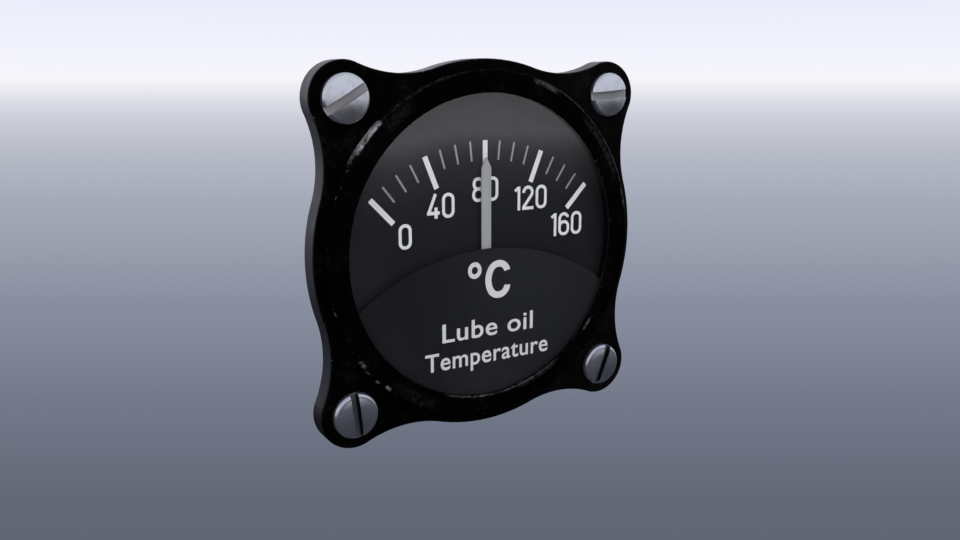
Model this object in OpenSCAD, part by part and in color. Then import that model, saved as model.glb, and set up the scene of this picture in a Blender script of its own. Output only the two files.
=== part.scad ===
// Panel gauge for oil temperature: an eared front flange, a raised bezel ring with
// its cover glass, a dial with a half mask, and a crossed-coil movement in a stepped case.
// Every piece is drawn lying on its back, dial towards +z, and stood up by upright(),
// so the finished part looks towards -Y, with +Z up and +X to the right of the dial.
// The origin is the centre of the flange's rear face, where the gauge meets its panel.

/* [Front flange] */
// Distance between screw centres, both across and up
screw_pitch = 47; // [46:0.5:48]
// Radius of the round middle of the flange
flange_r = 29.2; // [28.8:0.1:29.6]
// Radius of the four ears
ear_r = 5.4; // [5.2:0.05:5.8]
// Radius of the hollows between the middle and the ears
hollow_r = 18.3; // [15:0.1:22]
// Thickness of the flange
flange_t = 3.3; // [3.2:0.1:4]
// Rounding of the flange's front edge
flange_edge = 0.4; // [0.2:0.1:0.6]

/* [Bezel and glass] */
// Outer radius of the bezel ring
bezel_r = 27.6; // [27.2:0.1:28]
// Radius of the opening that shows the dial
opening_r = 24.1; // [23.8:0.1:24.2]
// Height of the bezel ring above the flange
bezel_rise = 1.35; // [1.3:0.05:1.6]
// Thickness of the ring's lip over the glass
lip_t = 0.35; // [0.3:0.05:0.4]
// Thickness of the cover glass
glass_t = 0.7; // [0.65:0.05:0.75]

/* [Dial] */
// Height of the pointer axis relative to the case axis
axis_y = -11.8; // [-11.8:0.1:-11.4]
// Length of the pointer from its axis to its tip
pointer_len = 26; // [24:0.1:26.2]
// Width of the pointer blade
pointer_w = 1.7; // [1.6:0.1:2.2]
// Radius of the mask's upper edge
mask_arc_r = 38; // [36:1:40]
// Height of the top of the mask's edge relative to the case axis
mask_top = -0.25; // [-0.6:0.05:0]
// Pointer travel each way from the middle of the scale, in degrees
sweep = 46; // [44:1:46]

/* [Movement] */
// Angle of each coil from the pointer's line
coil_angle = 18; // [17:1:19]
// Width of a coil's band
coil_w = 2.2; // [2:0.1:2.4]
// Inner radius of the soft iron ring round the coils
flux_ring_r = 6.3; // [6.2:0.1:6.4]

/* [Case] */
// Radius of the case where it passes the panel
drum_r = 25; // [24.8:0.1:25]
// Length of that wide stretch behind the panel
drum_len = 9.5; // [9.5:0.5:10.5]
// Radius of the narrower rear stretch
rear_r = 20; // [19.9:0.1:20.4]
// Distance from the panel to the open end of the case
case_len = 20; // [20:0.5:22]
// Thickness of the case wall
wall_t = 1.6; // [1.5:0.1:1.6]

/* [Connector] */
// Outer radius of the connector's threaded shell
shell_r = 8; // [7.9:0.1:8.4]
// Length of the shell behind the rear cover
shell_len = 11; // [10:1:14]
// Number of contact pins
pin_count = 5; // [4:1:6]

/* [Mounting screws] */
// Radius of the screw shanks, M4
screw_r = 2; // [1.9:0.1:2.1]
// Radius of the screw heads
head_r = 3.6; // [3.4:0.1:3.8]
// Length of the shanks behind the panel face
screw_reach = 6.7; // [6:0.1:8]
// Width of the screwdriver slots
slot_w = 1.3; // [1:0.05:1.4]

/* [Hidden] */
$fn = 72;
over = 1;
gap = 0.03;
half_pitch = screw_pitch / 2;
screw_spots = [[-1, 1], [1, 1], [-1, -1], [1, -1]];
slot_angles = [30, 4, 96, 68];
flange_bore_r = screw_r + 0.25;

// Heights above the panel plane, from the dial forward
dial_z = 1.7;
dial_t = 0.5;
dial_face = dial_z + dial_t;
mask_t = 0.3;
bezel_top = flange_t + bezel_rise;
glass_front = bezel_top - lip_t;
glass_back = glass_front - glass_t;
gasket_t = 0.2;
spacer_top = glass_back - gasket_t;
mask_z = spacer_top - mask_t;
pointer_z = dial_face + 0.35;
pointer_t = 0.25;
glass_r = 25.4;
seat_r = 25.35;
stack_r = 25.3;
stack_in_r = 24.3;
recess_r = 26.55;
ledge_z = 0.8;
rim_r = recess_r - 0.05;
rim_z = 2.2;

// Movement, measured from the pointer axis
plate_z = -0.75;
plate_t = 1;
plate_face = plate_z + plate_t;
plate_r = 23.2;
move_z = -5.6;
core_len = 4.4;
core_r = 4.75;
coil_in = 5.1;
coil_out = 5.8;
coil_t = 0.6;
inner_half = core_len / 2 + 0.3;
inner_out = inner_half + coil_t;
outer_out = inner_out + 0.65;
coil_front = move_z + outer_out;
coil_back = move_z - outer_out;
ring_out_r = 8.8;
lug_x = 10.8;
lug_r = 2.2;
lug_t = 2.4;
through_r = 1;
bridge_z = -10.9;
bridge_t = 1;
bridge_back = bridge_z - bridge_t;
bridge_hub_r = 5.2;
staff_r = 0.4;
collar_z = -1.25;
cross_t = 0.25;
arm_w = 0.5;
side_arm = 6.7;
tail_arm = 9.6;
side_weight_r = 0.5;
tail_weight_r = 0.9;
stop_r = 4.5;
stop_pin_r = 0.4;
stop_angle = sweep + asin((arm_w / 2 + stop_pin_r) / stop_r) + 0.8;
bar_w = 1.4;
bar_h = 2;
bar_len = 15.6;

// The tail weight balances pointer and tail arm: light alloy against brass
alloy_per_brass = 2.7 / 8.5;
tip_len = 1.65;
pointer_tail = 5;
blade_len = pointer_len - tip_len;
blade_moment = pointer_w * pointer_t * (blade_len * blade_len - pointer_tail * pointer_tail) / 2;
tip_moment = pointer_w * tip_len / 2 * pointer_t * (blade_len + tip_len / 3);
arm_moment = arm_w * cross_t * tail_arm * tail_arm / 2;
tail_moment = (blade_moment + tip_moment - arm_moment) * alloy_per_brass;
tail_weight_h = tail_moment / (PI * tail_weight_r * tail_weight_r * tail_arm);

// Fixings inside the case
dial_foot = [6.5, -15];
plate_boss_r = 21;
plate_boss_angles = [90, 205, 335];
cover_boss_r = 16.8;
cover_boss_angles = [90, 210, 330];
post = [9, 10];
board_z = -14.2;
board_t = 1.2;
board_front = board_z + board_t;
board_r = 14.2;
bobbin_spots = [[-6.5, 1.5], [0, 7.5], [6.5, 1.5]];
bobbin_len = 8;
tag_r = 11;

// Case and connector
drum_in_r = drum_r - wall_t;
floor_z = -drum_len + wall_t - 0.1;
rear_in_r = rear_r - 1.5;
seal_t = 0.4;
cover_z = -case_len - seal_t;
cover_t = 1.8;
cover_back = cover_z - cover_t;
hub_rise = 0.8;
hub_back = cover_back - hub_rise;
nut_t = 3;
shell_end = cover_back - shell_len;
socket_r = shell_r - 1.4;
neck_r = shell_r + 0.4;
neck_end = hub_back - nut_t - 0.3;
insert_face = shell_end + 8;
insert_flange = cover_z - 0.6;
shell_front = cover_z + 1.8;
pin_circle = 4.2;
pin_r = 0.75;

// Stands a piece up: its drawn +z turns to face the reader of the dial
module upright() {
    rotate([90, 0, 0]) children();
}

// A washer from one height upwards
module washer(r_out, r_in, z, t) {
    translate([0, 0, z]) difference() {
        cylinder(r = r_out, h = t);
        translate([0, 0, -over]) cylinder(r = r_in, h = t + 2 * over);
    }
}

// Half section of a disc with its upper edge rounded
module soft_section(r_in, r, t, edge) {
    translate([r_in, 0]) square([r - r_in, t - edge]);
    translate([r_in, 0]) square([r - edge - r_in, t]);
    translate([r - edge, t - edge]) circle(r = edge);
}

module soft_disc(r, t, edge) {
    rotate_extrude() soft_section(0, r, t, edge);
}

// Places children round the case axis at one radius
module round_about(radius, angles) {
    for (a = angles) rotate([0, 0, a]) translate([radius, 0, 0]) children();
}

// Places children at the pointer axis
module at_axis() {
    translate([0, axis_y, 0]) children();
}

// Places children on both sides of the middle
module both_sides(spot) {
    for (side = [-1, 1]) translate([side * spot[0], spot[1], 0]) children();
}

// A slotted screw with its head's seat at z = 0 and its shank below
module cheese_screw(r, len, r_head, h_head) {
    difference() {
        union() {
            cylinder(r = r_head, h = h_head);
            translate([0, 0, -len]) cylinder(r = r, h = len);
        }
        translate([-r_head - over, -r_head * 0.11, h_head * 0.5])
            cube([2 * (r_head + over), r_head * 0.22, h_head]);
    }
}

// A countersunk screw with its flat top at z = 0
module flat_screw(r, len, r_head, slot) {
    difference() {
        union() {
            translate([0, 0, r - r_head]) cylinder(r1 = r, r2 = r_head, h = r_head - r);
            translate([0, 0, -len]) cylinder(r = r, h = len);
        }
        translate([-r_head - over, -slot / 2, -slot]) cube([2 * (r_head + over), slot, slot + over]);
    }
}

// A rectangle with round corners
module soft_square(w, h, r) {
    square([w, h - 2 * r], center = true);
    square([w - 2 * r, h], center = true);
    for (x = [-1, 1], y = [-1, 1]) translate([x * (w / 2 - r), y * (h / 2 - r)]) circle(r = r);
}

// Centre of a hollow beside the ear on +x, and the points where it meets body and ear
ear_away = half_pitch * sqrt(2);
hollow_away = flange_r + hollow_r;
hollow_to_ear = ear_r + hollow_r;
hollow_turn = acos((hollow_away * hollow_away + ear_away * ear_away - hollow_to_ear * hollow_to_ear)
    / (2 * hollow_away * ear_away));
hollow_spot = [hollow_away * cos(hollow_turn), hollow_away * sin(hollow_turn)];
ear_spot = [ear_away, 0];
body_touch = hollow_spot * (flange_r / hollow_away);
ear_touch = ear_spot + (hollow_spot - ear_spot) * (ear_r / hollow_to_ear);

// The stock between the middle and one ear, out to its two hollows
module ear_web() {
    linear_extrude(height = flange_t)
        polygon([[0, 0], body_touch, ear_touch, ear_spot,
            [ear_touch[0], -ear_touch[1]], [body_touch[0], -body_touch[1]]]);
}

// Cuts one hollow and rounds its front edge like the rest of the outline
module hollow_cutter() {
    bite = 0.02;
    lift = 0.01;
    e = flange_edge;
    r = hollow_r + bite;
    rotate_extrude() {
        translate([0, -over]) square([r, flange_t + 2 * over]);
        difference() {
            translate([r - over, flange_t - e + lift]) square([e + over, e + over]);
            translate([r + e, flange_t - e + lift]) circle(r = e);
        }
    }
}

module flange_blank() {
    difference() {
        union() {
            soft_disc(flange_r, flange_t, flange_edge);
            for (a = [45 : 90 : 315]) rotate([0, 0, a]) {
                ear_web();
                translate([ear_away, 0, 0]) soft_disc(ear_r, flange_t, flange_edge);
            }
        }
        for (a = [45 : 90 : 315], side = [-1, 1]) rotate([0, 0, a])
            translate([hollow_spot[0], side * hollow_spot[1], 0]) hollow_cutter();
    }
}

module front_flange() {
    color("#101012") upright() difference() {
        flange_blank();
        translate([0, 0, -over]) cylinder(r = drum_r + gap, h = flange_t + 2 * over);
        translate([0, 0, ledge_z]) cylinder(r = recess_r, h = flange_t);
        for (s = screw_spots) translate([s[0] * half_pitch, s[1] * half_pitch, -over])
            cylinder(r = flange_bore_r, h = flange_t + 2 * over);
    }
}

// Section of the bezel ring: a raised rim, a lip over the glass and a skirt in the flange
// that bears on the rim of the case
module bezel_section() {
    outer_edge = 0.45;
    inner_edge = 0.25;
    difference() {
        union() {
            translate([opening_r + inner_edge, flange_t])
                square([bezel_r - opening_r - inner_edge - outer_edge, bezel_rise]);
            translate([opening_r, flange_t]) square([bezel_r - opening_r, bezel_rise - outer_edge]);
            translate([opening_r, flange_t]) square([2, bezel_rise - inner_edge]);
            translate([bezel_r - outer_edge, bezel_top - outer_edge]) circle(r = outer_edge);
            translate([opening_r + inner_edge, bezel_top - inner_edge]) circle(r = inner_edge);
            translate([glass_r, rim_z]) square([rim_r - glass_r, flange_t - rim_z + 0.1]);
        }
        translate([0, rim_z - over]) square([glass_r + 0.05, glass_front - rim_z + over]);
    }
}

module bezel_ring() {
    color("#0c0c0e") upright() rotate_extrude() bezel_section();
}

module cover_glass() {
    color("#dfe8ea", 0.3) upright() translate([0, 0, glass_back]) cylinder(r = glass_r, h = glass_t);
}

module glass_gasket() {
    color("#1c1c1c") upright() washer(stack_r, stack_in_r, spacer_top, gasket_t);
}

// Outline of the mask: the lower part of the dial, under a wide arc
module mask_outline(r) {
    intersection() {
        circle(r = r);
        translate([0, mask_top - mask_arc_r]) circle(r = mask_arc_r);
    }
}

module spacer_ring() {
    color("#151517") upright() difference() {
        washer(stack_r, stack_in_r, dial_face, spacer_top - dial_face);
        translate([0, mask_top - mask_arc_r, mask_z]) cylinder(r = mask_arc_r + gap, h = mask_t + over);
    }
}

module dial_mask() {
    color("#36373b") upright() translate([0, 0, mask_z])
        linear_extrude(height = mask_t) mask_outline(stack_r - gap);
}

module dial_plate() {
    color("#2e2f33") upright() difference() {
        translate([0, 0, dial_z]) cylinder(r = stack_r, h = dial_t);
        at_axis() cylinder(r = 1.9, h = 3);
        both_sides(dial_foot) cylinder(r = 0.85, h = 3);
    }
}

module dial_screws() {
    color("silver") upright() both_sides(dial_foot)
        translate([0, 0, dial_face]) cheese_screw(0.8, 2.9, 1.5, 0.5);
}

module dial_feet() {
    color("goldenrod") upright() both_sides(dial_foot)
        washer(1.7, 0.8 + gap, plate_face, dial_z - plate_face);
}

module movement_plate() {
    color("#c8b060") upright() difference() {
        translate([0, 0, plate_z]) cylinder(r = plate_r, h = plate_t);
        at_axis() translate([0, 0, plate_z - over]) cylinder(r = 1.3 + gap, h = plate_t + 2 * over);
        round_about(plate_boss_r, plate_boss_angles)
            translate([0, 0, plate_z - over]) cylinder(r = 1.1, h = plate_t + 2 * over);
        both_sides([lug_x, axis_y])
            translate([0, 0, plate_z - over]) cylinder(r = through_r + gap, h = plate_t + 2 * over);
        both_sides(dial_foot)
            translate([0, 0, plate_z - over]) cylinder(r = 0.8 + gap, h = plate_t + 2 * over);
    }
}

module movement_screws() {
    color("silver") upright() round_about(plate_boss_r, plate_boss_angles)
        translate([0, 0, plate_face]) cheese_screw(1, 4, 1.9, 0.75);
}

// Bush with the ring jewel in which the front staff runs
module jewel_bush() {
    color("goldenrod") upright() at_axis() difference() {
        union() {
            translate([0, 0, plate_face]) cylinder(r = 1.8, h = 0.3);
            translate([0, 0, plate_z - 0.1]) cylinder(r = 1.3, h = plate_t + 0.1);
        }
        translate([0, 0, plate_z - over]) cylinder(r = staff_r + 0.2, h = plate_t + 2 * over);
        translate([0, 0, plate_face - 0.3]) cylinder(r = 0.95, h = 2);
    }
}

module ring_jewel() {
    color("#b0123c") upright() at_axis() washer(0.92, staff_r + 0.05, plate_face - 0.3, 0.45);
}

module front_spacers() {
    color("goldenrod") upright() both_sides([lug_x, axis_y])
        washer(1.7, through_r + gap, move_z + lug_t / 2, plate_z - move_z - lug_t / 2);
}

module rear_spacers() {
    color("goldenrod") upright() both_sides([lug_x, axis_y])
        washer(1.7, through_r + gap, bridge_z, move_z - lug_t / 2 - bridge_z);
}

// The bar that carries the core, reaching into pockets in the iron ring
module bar_shape(extra) {
    translate([0, 0, move_z]) cube([bar_len + extra, bar_w, bar_h], center = true);
}

module flux_ring() {
    color("#6f7276") upright() at_axis() difference() {
        union() {
            translate([0, 0, move_z - core_len / 2]) cylinder(r = ring_out_r, h = core_len);
            for (side = [-1, 1]) translate([side * lug_x, 0, move_z - lug_t / 2])
                cylinder(r = lug_r, h = lug_t);
            translate([0, 0, move_z]) cube([2 * lug_x, 2 * lug_r, lug_t], center = true);
        }
        translate([0, 0, move_z - core_len]) cylinder(r = flux_ring_r, h = 2 * core_len);
        for (side = [-1, 1]) translate([side * lug_x, 0, move_z - core_len])
            cylinder(r = through_r + gap, h = 2 * core_len);
        bar_shape(0);
    }
}

// Oval core: its gap to the iron ring changes with the angle
module core_magnet() {
    color("#55585c") upright() at_axis() difference() {
        intersection() {
            for_core(1);
            for_core(-1);
        }
        bar_shape(over);
    }
}

module for_core(side) {
    translate([0, side * 0.6, move_z - core_len / 2]) cylinder(r = core_r, h = core_len);
}

module core_bar() {
    color("goldenrod") upright() at_axis() bar_shape(0);
}

module rear_bridge() {
    color("#c8b060") upright() at_axis() difference() {
        union() {
            translate([0, 0, bridge_back]) cylinder(r = bridge_hub_r, h = bridge_t);
            for (side = [-1, 1]) translate([side * lug_x, 0, bridge_back])
                cylinder(r = lug_r, h = bridge_t);
            translate([-lug_x, -lug_r, bridge_back]) cube([2 * lug_x, 2 * lug_r, bridge_t]);
        }
        for (side = [-1, 0, 1]) translate([side * lug_x, 0, bridge_back - over])
            cylinder(r = through_r + gap, h = bridge_t + 2 * over);
    }
}

module bridge_screws() {
    reach = plate_face - 0.05 - bridge_back;
    color("silver") upright() both_sides([lug_x, axis_y])
        translate([0, 0, bridge_back]) mirror([0, 0, 1]) cheese_screw(through_r, reach, 1.9, 1.1);
}

// Adjusting screw with a pocket for the cup jewel of the rear pivot
module jewel_screw() {
    tip = bridge_z + 0.45;
    end = bridge_back - 0.9;
    color("silver") upright() at_axis() difference() {
        translate([0, 0, end]) cylinder(r = through_r, h = tip - end);
        translate([0, 0, tip - 0.5]) cylinder(r = 0.66, h = 0.5 + over);
        translate([-2, -0.15, end - over]) cube([4, 0.3, 0.4 + over]);
    }
}

module cup_jewel() {
    tip = bridge_z + 0.45;
    color("#b0123c") upright() at_axis() difference() {
        translate([0, 0, tip - 0.5]) cylinder(r = 0.63, h = 0.5);
        translate([0, 0, tip - 0.35]) cylinder(r1 = 0.14, r2 = 0.49, h = 0.35);
        translate([0, 0, tip]) cylinder(r = 0.49, h = over);
    }
}

module jewel_lock_nut() {
    color("goldenrod") upright() at_axis() translate([0, 0, bridge_back - 0.6]) difference() {
        cylinder(r = 2.1, h = 0.6, $fn = 6);
        translate([0, 0, -over]) cylinder(r = through_r + gap, h = 3);
    }
}

module stop_pins() {
    color("silver") upright() at_axis() for (a = [stop_angle, 180 - stop_angle])
        rotate([0, 0, a]) translate([stop_r, 0, coil_front + 0.15])
            cylinder(r = stop_pin_r, h = plate_z - coil_front - 0.15);
}

module pointer() {
    half = pointer_w / 2;
    color("#b4b4b8") upright() at_axis() translate([0, 0, pointer_z]) difference() {
        linear_extrude(height = pointer_t) {
            polygon([[-half, -pointer_tail], [half, -pointer_tail], [half, blade_len],
                [0, pointer_len], [-half, blade_len]]);
            circle(r = 2.1);
        }
        translate([0, 0, -over]) cylinder(r = 0.8, h = 3);
    }
}

module pointer_hub() {
    color("goldenrod") upright() at_axis() difference() {
        union() {
            translate([0, 0, 1]) cylinder(r = 1.3, h = pointer_z - 1);
            translate([0, 0, pointer_z]) cylinder(r = 0.78, h = pointer_t + 0.13);
        }
        translate([0, 0, 0]) cylinder(r = staff_r + 0.01, h = 4);
    }
}

module front_staff() {
    color("#8d9196") upright() at_axis() {
        translate([0, 0, collar_z]) cylinder(r = staff_r, h = pointer_z + pointer_t + 0.13 - collar_z);
        translate([0, 0, coil_front]) cylinder(r = 1, h = collar_z - coil_front);
    }
}

module rear_staff() {
    sleeve_end = bridge_z + 0.55;
    color("#8d9196") upright() at_axis() {
        translate([0, 0, coil_back - 0.2]) cylinder(r = 1, h = 0.2);
        translate([0, 0, sleeve_end]) cylinder(r = 0.7, h = coil_back - 0.2 - sleeve_end);
        translate([0, 0, sleeve_end - 0.3]) cylinder(r = 0.12, h = 0.3);
    }
}

// One coil: a flat band wound round the core, seen end-on as a soft rectangle
module coil(half_in, half_out, turn) {
    corner = 0.9;
    rotate([0, 0, 90 + turn]) translate([0, coil_w / 2, move_z]) rotate([90, 0, 0])
        linear_extrude(height = coil_w) difference() {
            soft_square(2 * coil_out, 2 * half_out, corner);
            soft_square(2 * coil_in, 2 * half_in, corner / 2);
        }
}

module coil_inner() {
    color("#b5652b") upright() at_axis() coil(inner_half, inner_out, coil_angle);
}

module coil_outer() {
    color("#c87533") upright() at_axis() coil(inner_out, outer_out, -coil_angle);
}

module balance_cross() {
    color("#b4b4b8") upright() at_axis() translate([0, 0, collar_z]) difference() {
        union() {
            cylinder(r = 1.3, h = cross_t);
            translate([-side_arm, -arm_w / 2, 0]) cube([2 * side_arm, arm_w, cross_t]);
            translate([-arm_w / 2, -tail_arm, 0]) cube([arm_w, tail_arm, cross_t]);
        }
        translate([0, 0, -over]) cylinder(r = staff_r + 0.01, h = 3);
    }
}

module balance_weights() {
    color("goldenrod") upright() at_axis() {
        for (side = [-1, 1]) translate([side * side_arm, 0, collar_z - 0.8])
            cylinder(r = side_weight_r, h = 0.8);
        translate([0, -tail_arm, collar_z - tail_weight_h])
            cylinder(r = tail_weight_r, h = tail_weight_h);
    }
}

// Height of each of the three current strips, and the radius of their posts' circle
function strip_z(i) = coil_back - 0.45 - 0.3 * i;
strip_post = 4.4;
strip_t = 0.08;

// Fine curved strips that lead the current in, from their posts to the rear staff
module ligaments() {
    reach = strip_post - 0.8;
    color("#d8b64a") upright() at_axis() for (i = [0 : 2]) rotate([0, 0, 90 + 120 * i])
        translate([0, 0, strip_z(i)]) {
            translate([strip_post - reach / 2, 0, 0])
                rotate_extrude(angle = 180) translate([reach / 2 - 0.06, 0]) square([0.12, strip_t]);
            translate([strip_post, 0, 0]) cylinder(r = 0.3, h = strip_t);
        }
}

module ligament_posts() {
    color("goldenrod") upright() at_axis() for (i = [0 : 2]) rotate([0, 0, 90 + 120 * i])
        translate([strip_post, 0, bridge_z]) cylinder(r = 0.3, h = strip_z(i) - bridge_z);
}

module board_posts() {
    color("goldenrod") upright() both_sides(post) difference() {
        translate([0, 0, board_front]) cylinder(r = 1.6, h = plate_z - board_front);
        translate([0, 0, board_front - over]) cylinder(r = 0.8 + gap, h = 3 + over);
    }
}

module terminal_board() {
    color("#7a4a24") upright() difference() {
        translate([0, 0, board_z]) cylinder(r = board_r, h = board_t);
        both_sides(post) translate([0, 0, board_z - over]) cylinder(r = 0.85, h = board_t + 2 * over);
    }
}

module board_screws() {
    color("silver") upright() both_sides(post)
        translate([0, 0, board_z]) mirror([0, 0, 1]) cheese_screw(0.8, board_t + 2.8, 1.6, 0.9);
}

// Spools of resistance wire that set the range
module bobbin_formers() {
    color("#2a1c14") upright() for (s = bobbin_spots) translate([s[0], s[1], board_front]) {
        cylinder(r = 1.2, h = bobbin_len);
        cylinder(r = 3, h = 0.6);
        translate([0, 0, bobbin_len - 0.6]) cylinder(r = 3, h = 0.6);
    }
}

module bobbin_windings() {
    color("#8a5a2c") upright() for (s = bobbin_spots) translate([s[0], s[1], 0])
        washer(2.6, 1.2, board_front + 0.6, bobbin_len - 1.2);
}

pin_angles = [for (i = [0 : pin_count - 1]) 100 + 360 / pin_count * i];

module solder_tags() {
    color("silver") upright() round_about(tag_r, pin_angles)
        translate([-0.25, -0.8, board_z - 2.8]) cube([0.5, 1.6, 2.8]);
}

// A bend in a wire, starting along +x and turning towards +z
module wire_bend(r, bend_r, angle) {
    translate([0, 0, bend_r]) rotate([90, 0, 0]) rotate([0, 0, -90])
        rotate_extrude(angle = angle) translate([bend_r, 0]) circle(r = r);
}

// A straight length of wire from one height, tilted up from +x
module wire_run(r, x, z, tilt, len) {
    lap = 0.08;
    translate([x, 0, z]) rotate([0, 90 - tilt, 0]) translate([0, 0, -lap])
        cylinder(r = r, h = len + 2 * lap);
}

// A short insulated wire with two soft bends, from a pin's solder end up to its tag
module lead_wire() {
    $fn = 32;
    r = 0.4;
    bend_r = 1.5;
    turn = 30;
    low = cover_z + 3.3;
    high = board_z - 1.4;
    start = pin_circle + pin_r + 0.08;
    first = 1.2;
    climb = (high - low - 2 * bend_r * (1 - cos(turn))) / sin(turn);
    knee = start + first + bend_r * sin(turn);
    second = knee + climb * cos(turn) + bend_r * sin(turn);
    wire_run(r, start, low, 0, first);
    translate([start + first, 0, low]) wire_bend(r + 0.03, bend_r, turn);
    wire_run(r, knee, low + bend_r * (1 - cos(turn)), turn, climb);
    translate([second, 0, high]) rotate([0, 0, 180]) mirror([0, 0, 1])
        wire_bend(r + 0.03, bend_r, turn);
    wire_run(r, second, high, 0, tag_r - 0.33 - second);
}

module lead_wires() {
    color("#7c1f1f") upright() for (a = pin_angles) rotate([0, 0, a]) lead_wire();
}

// Stepped case: a rim that drops into the flange from the front and seats the dial,
// a wide drum behind the flange and a narrower rear stretch
module case_drum() {
    soft = 0.6;
    color("#1a1a1c") upright() difference() {
        union() {
            difference() {
                union() {
                    mirror([0, 0, 1]) soft_disc(drum_r, drum_len, soft);
                    translate([0, 0, -over]) cylinder(r = drum_r - 0.5, h = over + ledge_z);
                    translate([0, 0, ledge_z]) cylinder(r = rim_r, h = rim_z - ledge_z);
                    translate([0, 0, -case_len]) cylinder(r = rear_r, h = case_len - 2);
                }
                translate([0, 0, dial_z]) cylinder(r = seat_r, h = 20);
                translate([0, 0, floor_z]) cylinder(r = drum_in_r, h = 20);
                translate([0, 0, -case_len - over]) cylinder(r = rear_in_r, h = case_len + 2);
            }
            round_about(plate_boss_r, plate_boss_angles)
                translate([0, 0, floor_z - 0.2]) cylinder(r = 2, h = plate_z - floor_z + 0.2);
            round_about(cover_boss_r, cover_boss_angles)
                translate([0, 0, -case_len]) cylinder(r = 2.2, h = 6.8);
        }
        round_about(plate_boss_r, plate_boss_angles)
            translate([0, 0, plate_z - 3.4]) cylinder(r = through_r + gap, h = 3.4 + over);
        round_about(cover_boss_r, cover_boss_angles)
            translate([0, 0, -case_len - over]) cylinder(r = through_r + gap, h = 5 + over);
    }
}

module cover_seal() {
    color("#1c1c1c") upright() washer(rear_r, rear_in_r + 0.1, cover_z, seal_t);
}

module rear_cover() {
    color("#141416") upright() difference() {
        union() {
            translate([0, 0, cover_z]) mirror([0, 0, 1]) soft_disc(rear_r, cover_t, 0.5);
            translate([0, 0, cover_back + 0.4]) mirror([0, 0, 1]) soft_disc(13, hub_rise + 0.4, 0.3);
        }
        translate([0, 0, hub_back - over]) cylinder(r = neck_r + 0.05, h = 10);
        round_about(cover_boss_r, cover_boss_angles) {
            translate([0, 0, cover_back - over]) cylinder(r = 1.1, h = 5);
            translate([0, 0, cover_back - 0.01]) cylinder(r1 = 2.06, r2 = 1.1, h = 0.96);
        }
    }
}

module cover_screws() {
    color("silver") upright() round_about(cover_boss_r, cover_boss_angles)
        translate([0, 0, cover_back]) mirror([0, 0, 1]) flat_screw(1, 6, 2, 0.4);
}

// Socket with its key rib, clamped to the rear cover from both sides: a wider thread
// takes the nut, the thread behind it takes the cable plug
module connector_shell() {
    bore_len = shell_front - shell_end;
    color("#9a9da2") upright() difference() {
        union() {
            translate([0, 0, cover_z]) cylinder(r = 10, h = shell_front - cover_z);
            translate([0, 0, shell_end]) cylinder(r1 = shell_r - 0.4, r2 = shell_r, h = 0.4);
            translate([0, 0, shell_end + 0.4]) cylinder(r = shell_r, h = bore_len - 0.5);
            translate([0, 0, neck_end]) cylinder(r = neck_r, h = shell_front - 0.1 - neck_end);
        }
        difference() {
            translate([0, 0, shell_end - over]) cylinder(r = socket_r, h = bore_len + 2 * over);
            translate([-0.6, socket_r - 0.8, shell_end + 1]) cube([1.2, 2, insert_face - shell_end - 1]);
        }
        translate([0, 0, insert_flange]) cylinder(r = socket_r + 0.7, h = 10);
    }
}

module connector_nut() {
    color("#85888c") upright() translate([0, 0, hub_back - nut_t]) difference() {
        intersection() {
            cylinder(r = 11.5, h = nut_t, $fn = 6);
            cylinder(r = 11, h = nut_t);
        }
        translate([0, 0, -over]) cylinder(r = neck_r + gap, h = nut_t + 2 * over);
    }
}

module connector_insert() {
    color("#3a1f16") upright() difference() {
        union() {
            translate([0, 0, insert_face]) cylinder(r = socket_r - 0.05, h = insert_flange - insert_face);
            translate([0, 0, insert_flange]) cylinder(r = socket_r + 0.65, h = 1.6);
        }
        round_about(pin_circle, pin_angles)
            translate([0, 0, shell_end]) cylinder(r = pin_r, h = 30);
    }
}

module insert_ring() {
    color("silver") upright()
        washer(socket_r + 0.68, socket_r - 0.7, insert_flange + 1.6, 0.6);
}

module contact_pins() {
    tip = insert_face - 6;
    color("#d4af37") upright() round_about(pin_circle, pin_angles) {
        translate([0, 0, tip]) cylinder(r = pin_r, h = cover_z + 4 - tip);
        translate([0, 0, tip]) sphere(r = pin_r);
    }
}

// Domed head with a rounded rim, seat at z = 0
module domed_head() {
    rim = 0.5;
    side = 0.55;
    rise = 0.15;
    flat_r = head_r - rim;
    dome_r = (flat_r * flat_r + rise * rise) / (2 * rise);
    rotate_extrude() {
        square([head_r, side]);
        square([flat_r, side + rim]);
        translate([flat_r, side]) circle(r = rim);
        intersection() {
            translate([0, side + rim + rise - dome_r]) circle(r = dome_r);
            translate([0, side]) square([flat_r, rim + rise + over]);
        }
    }
}

// The shank is reduced where it passes the flange, and full size behind it
module mounting_screws() {
    color("#c9ccd0") upright() for (i = [0 : 3])
        translate([screw_spots[i][0] * half_pitch, screw_spots[i][1] * half_pitch, 0]) {
            rotate([0, 0, slot_angles[i]]) difference() {
                translate([0, 0, flange_t]) domed_head();
                translate([-head_r - over, -slot_w / 2, flange_t + 0.35])
                    cube([2 * (head_r + over), slot_w, 3]);
            }
            translate([0, 0, -over]) cylinder(r = screw_r - 0.22, h = over + flange_t + 0.1);
            translate([0, 0, -screw_reach + 0.5]) cylinder(r = screw_r, h = screw_reach - 0.5);
            translate([0, 0, -screw_reach]) cylinder(r1 = screw_r - 0.5, r2 = screw_r, h = 0.5);
        }
}

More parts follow.
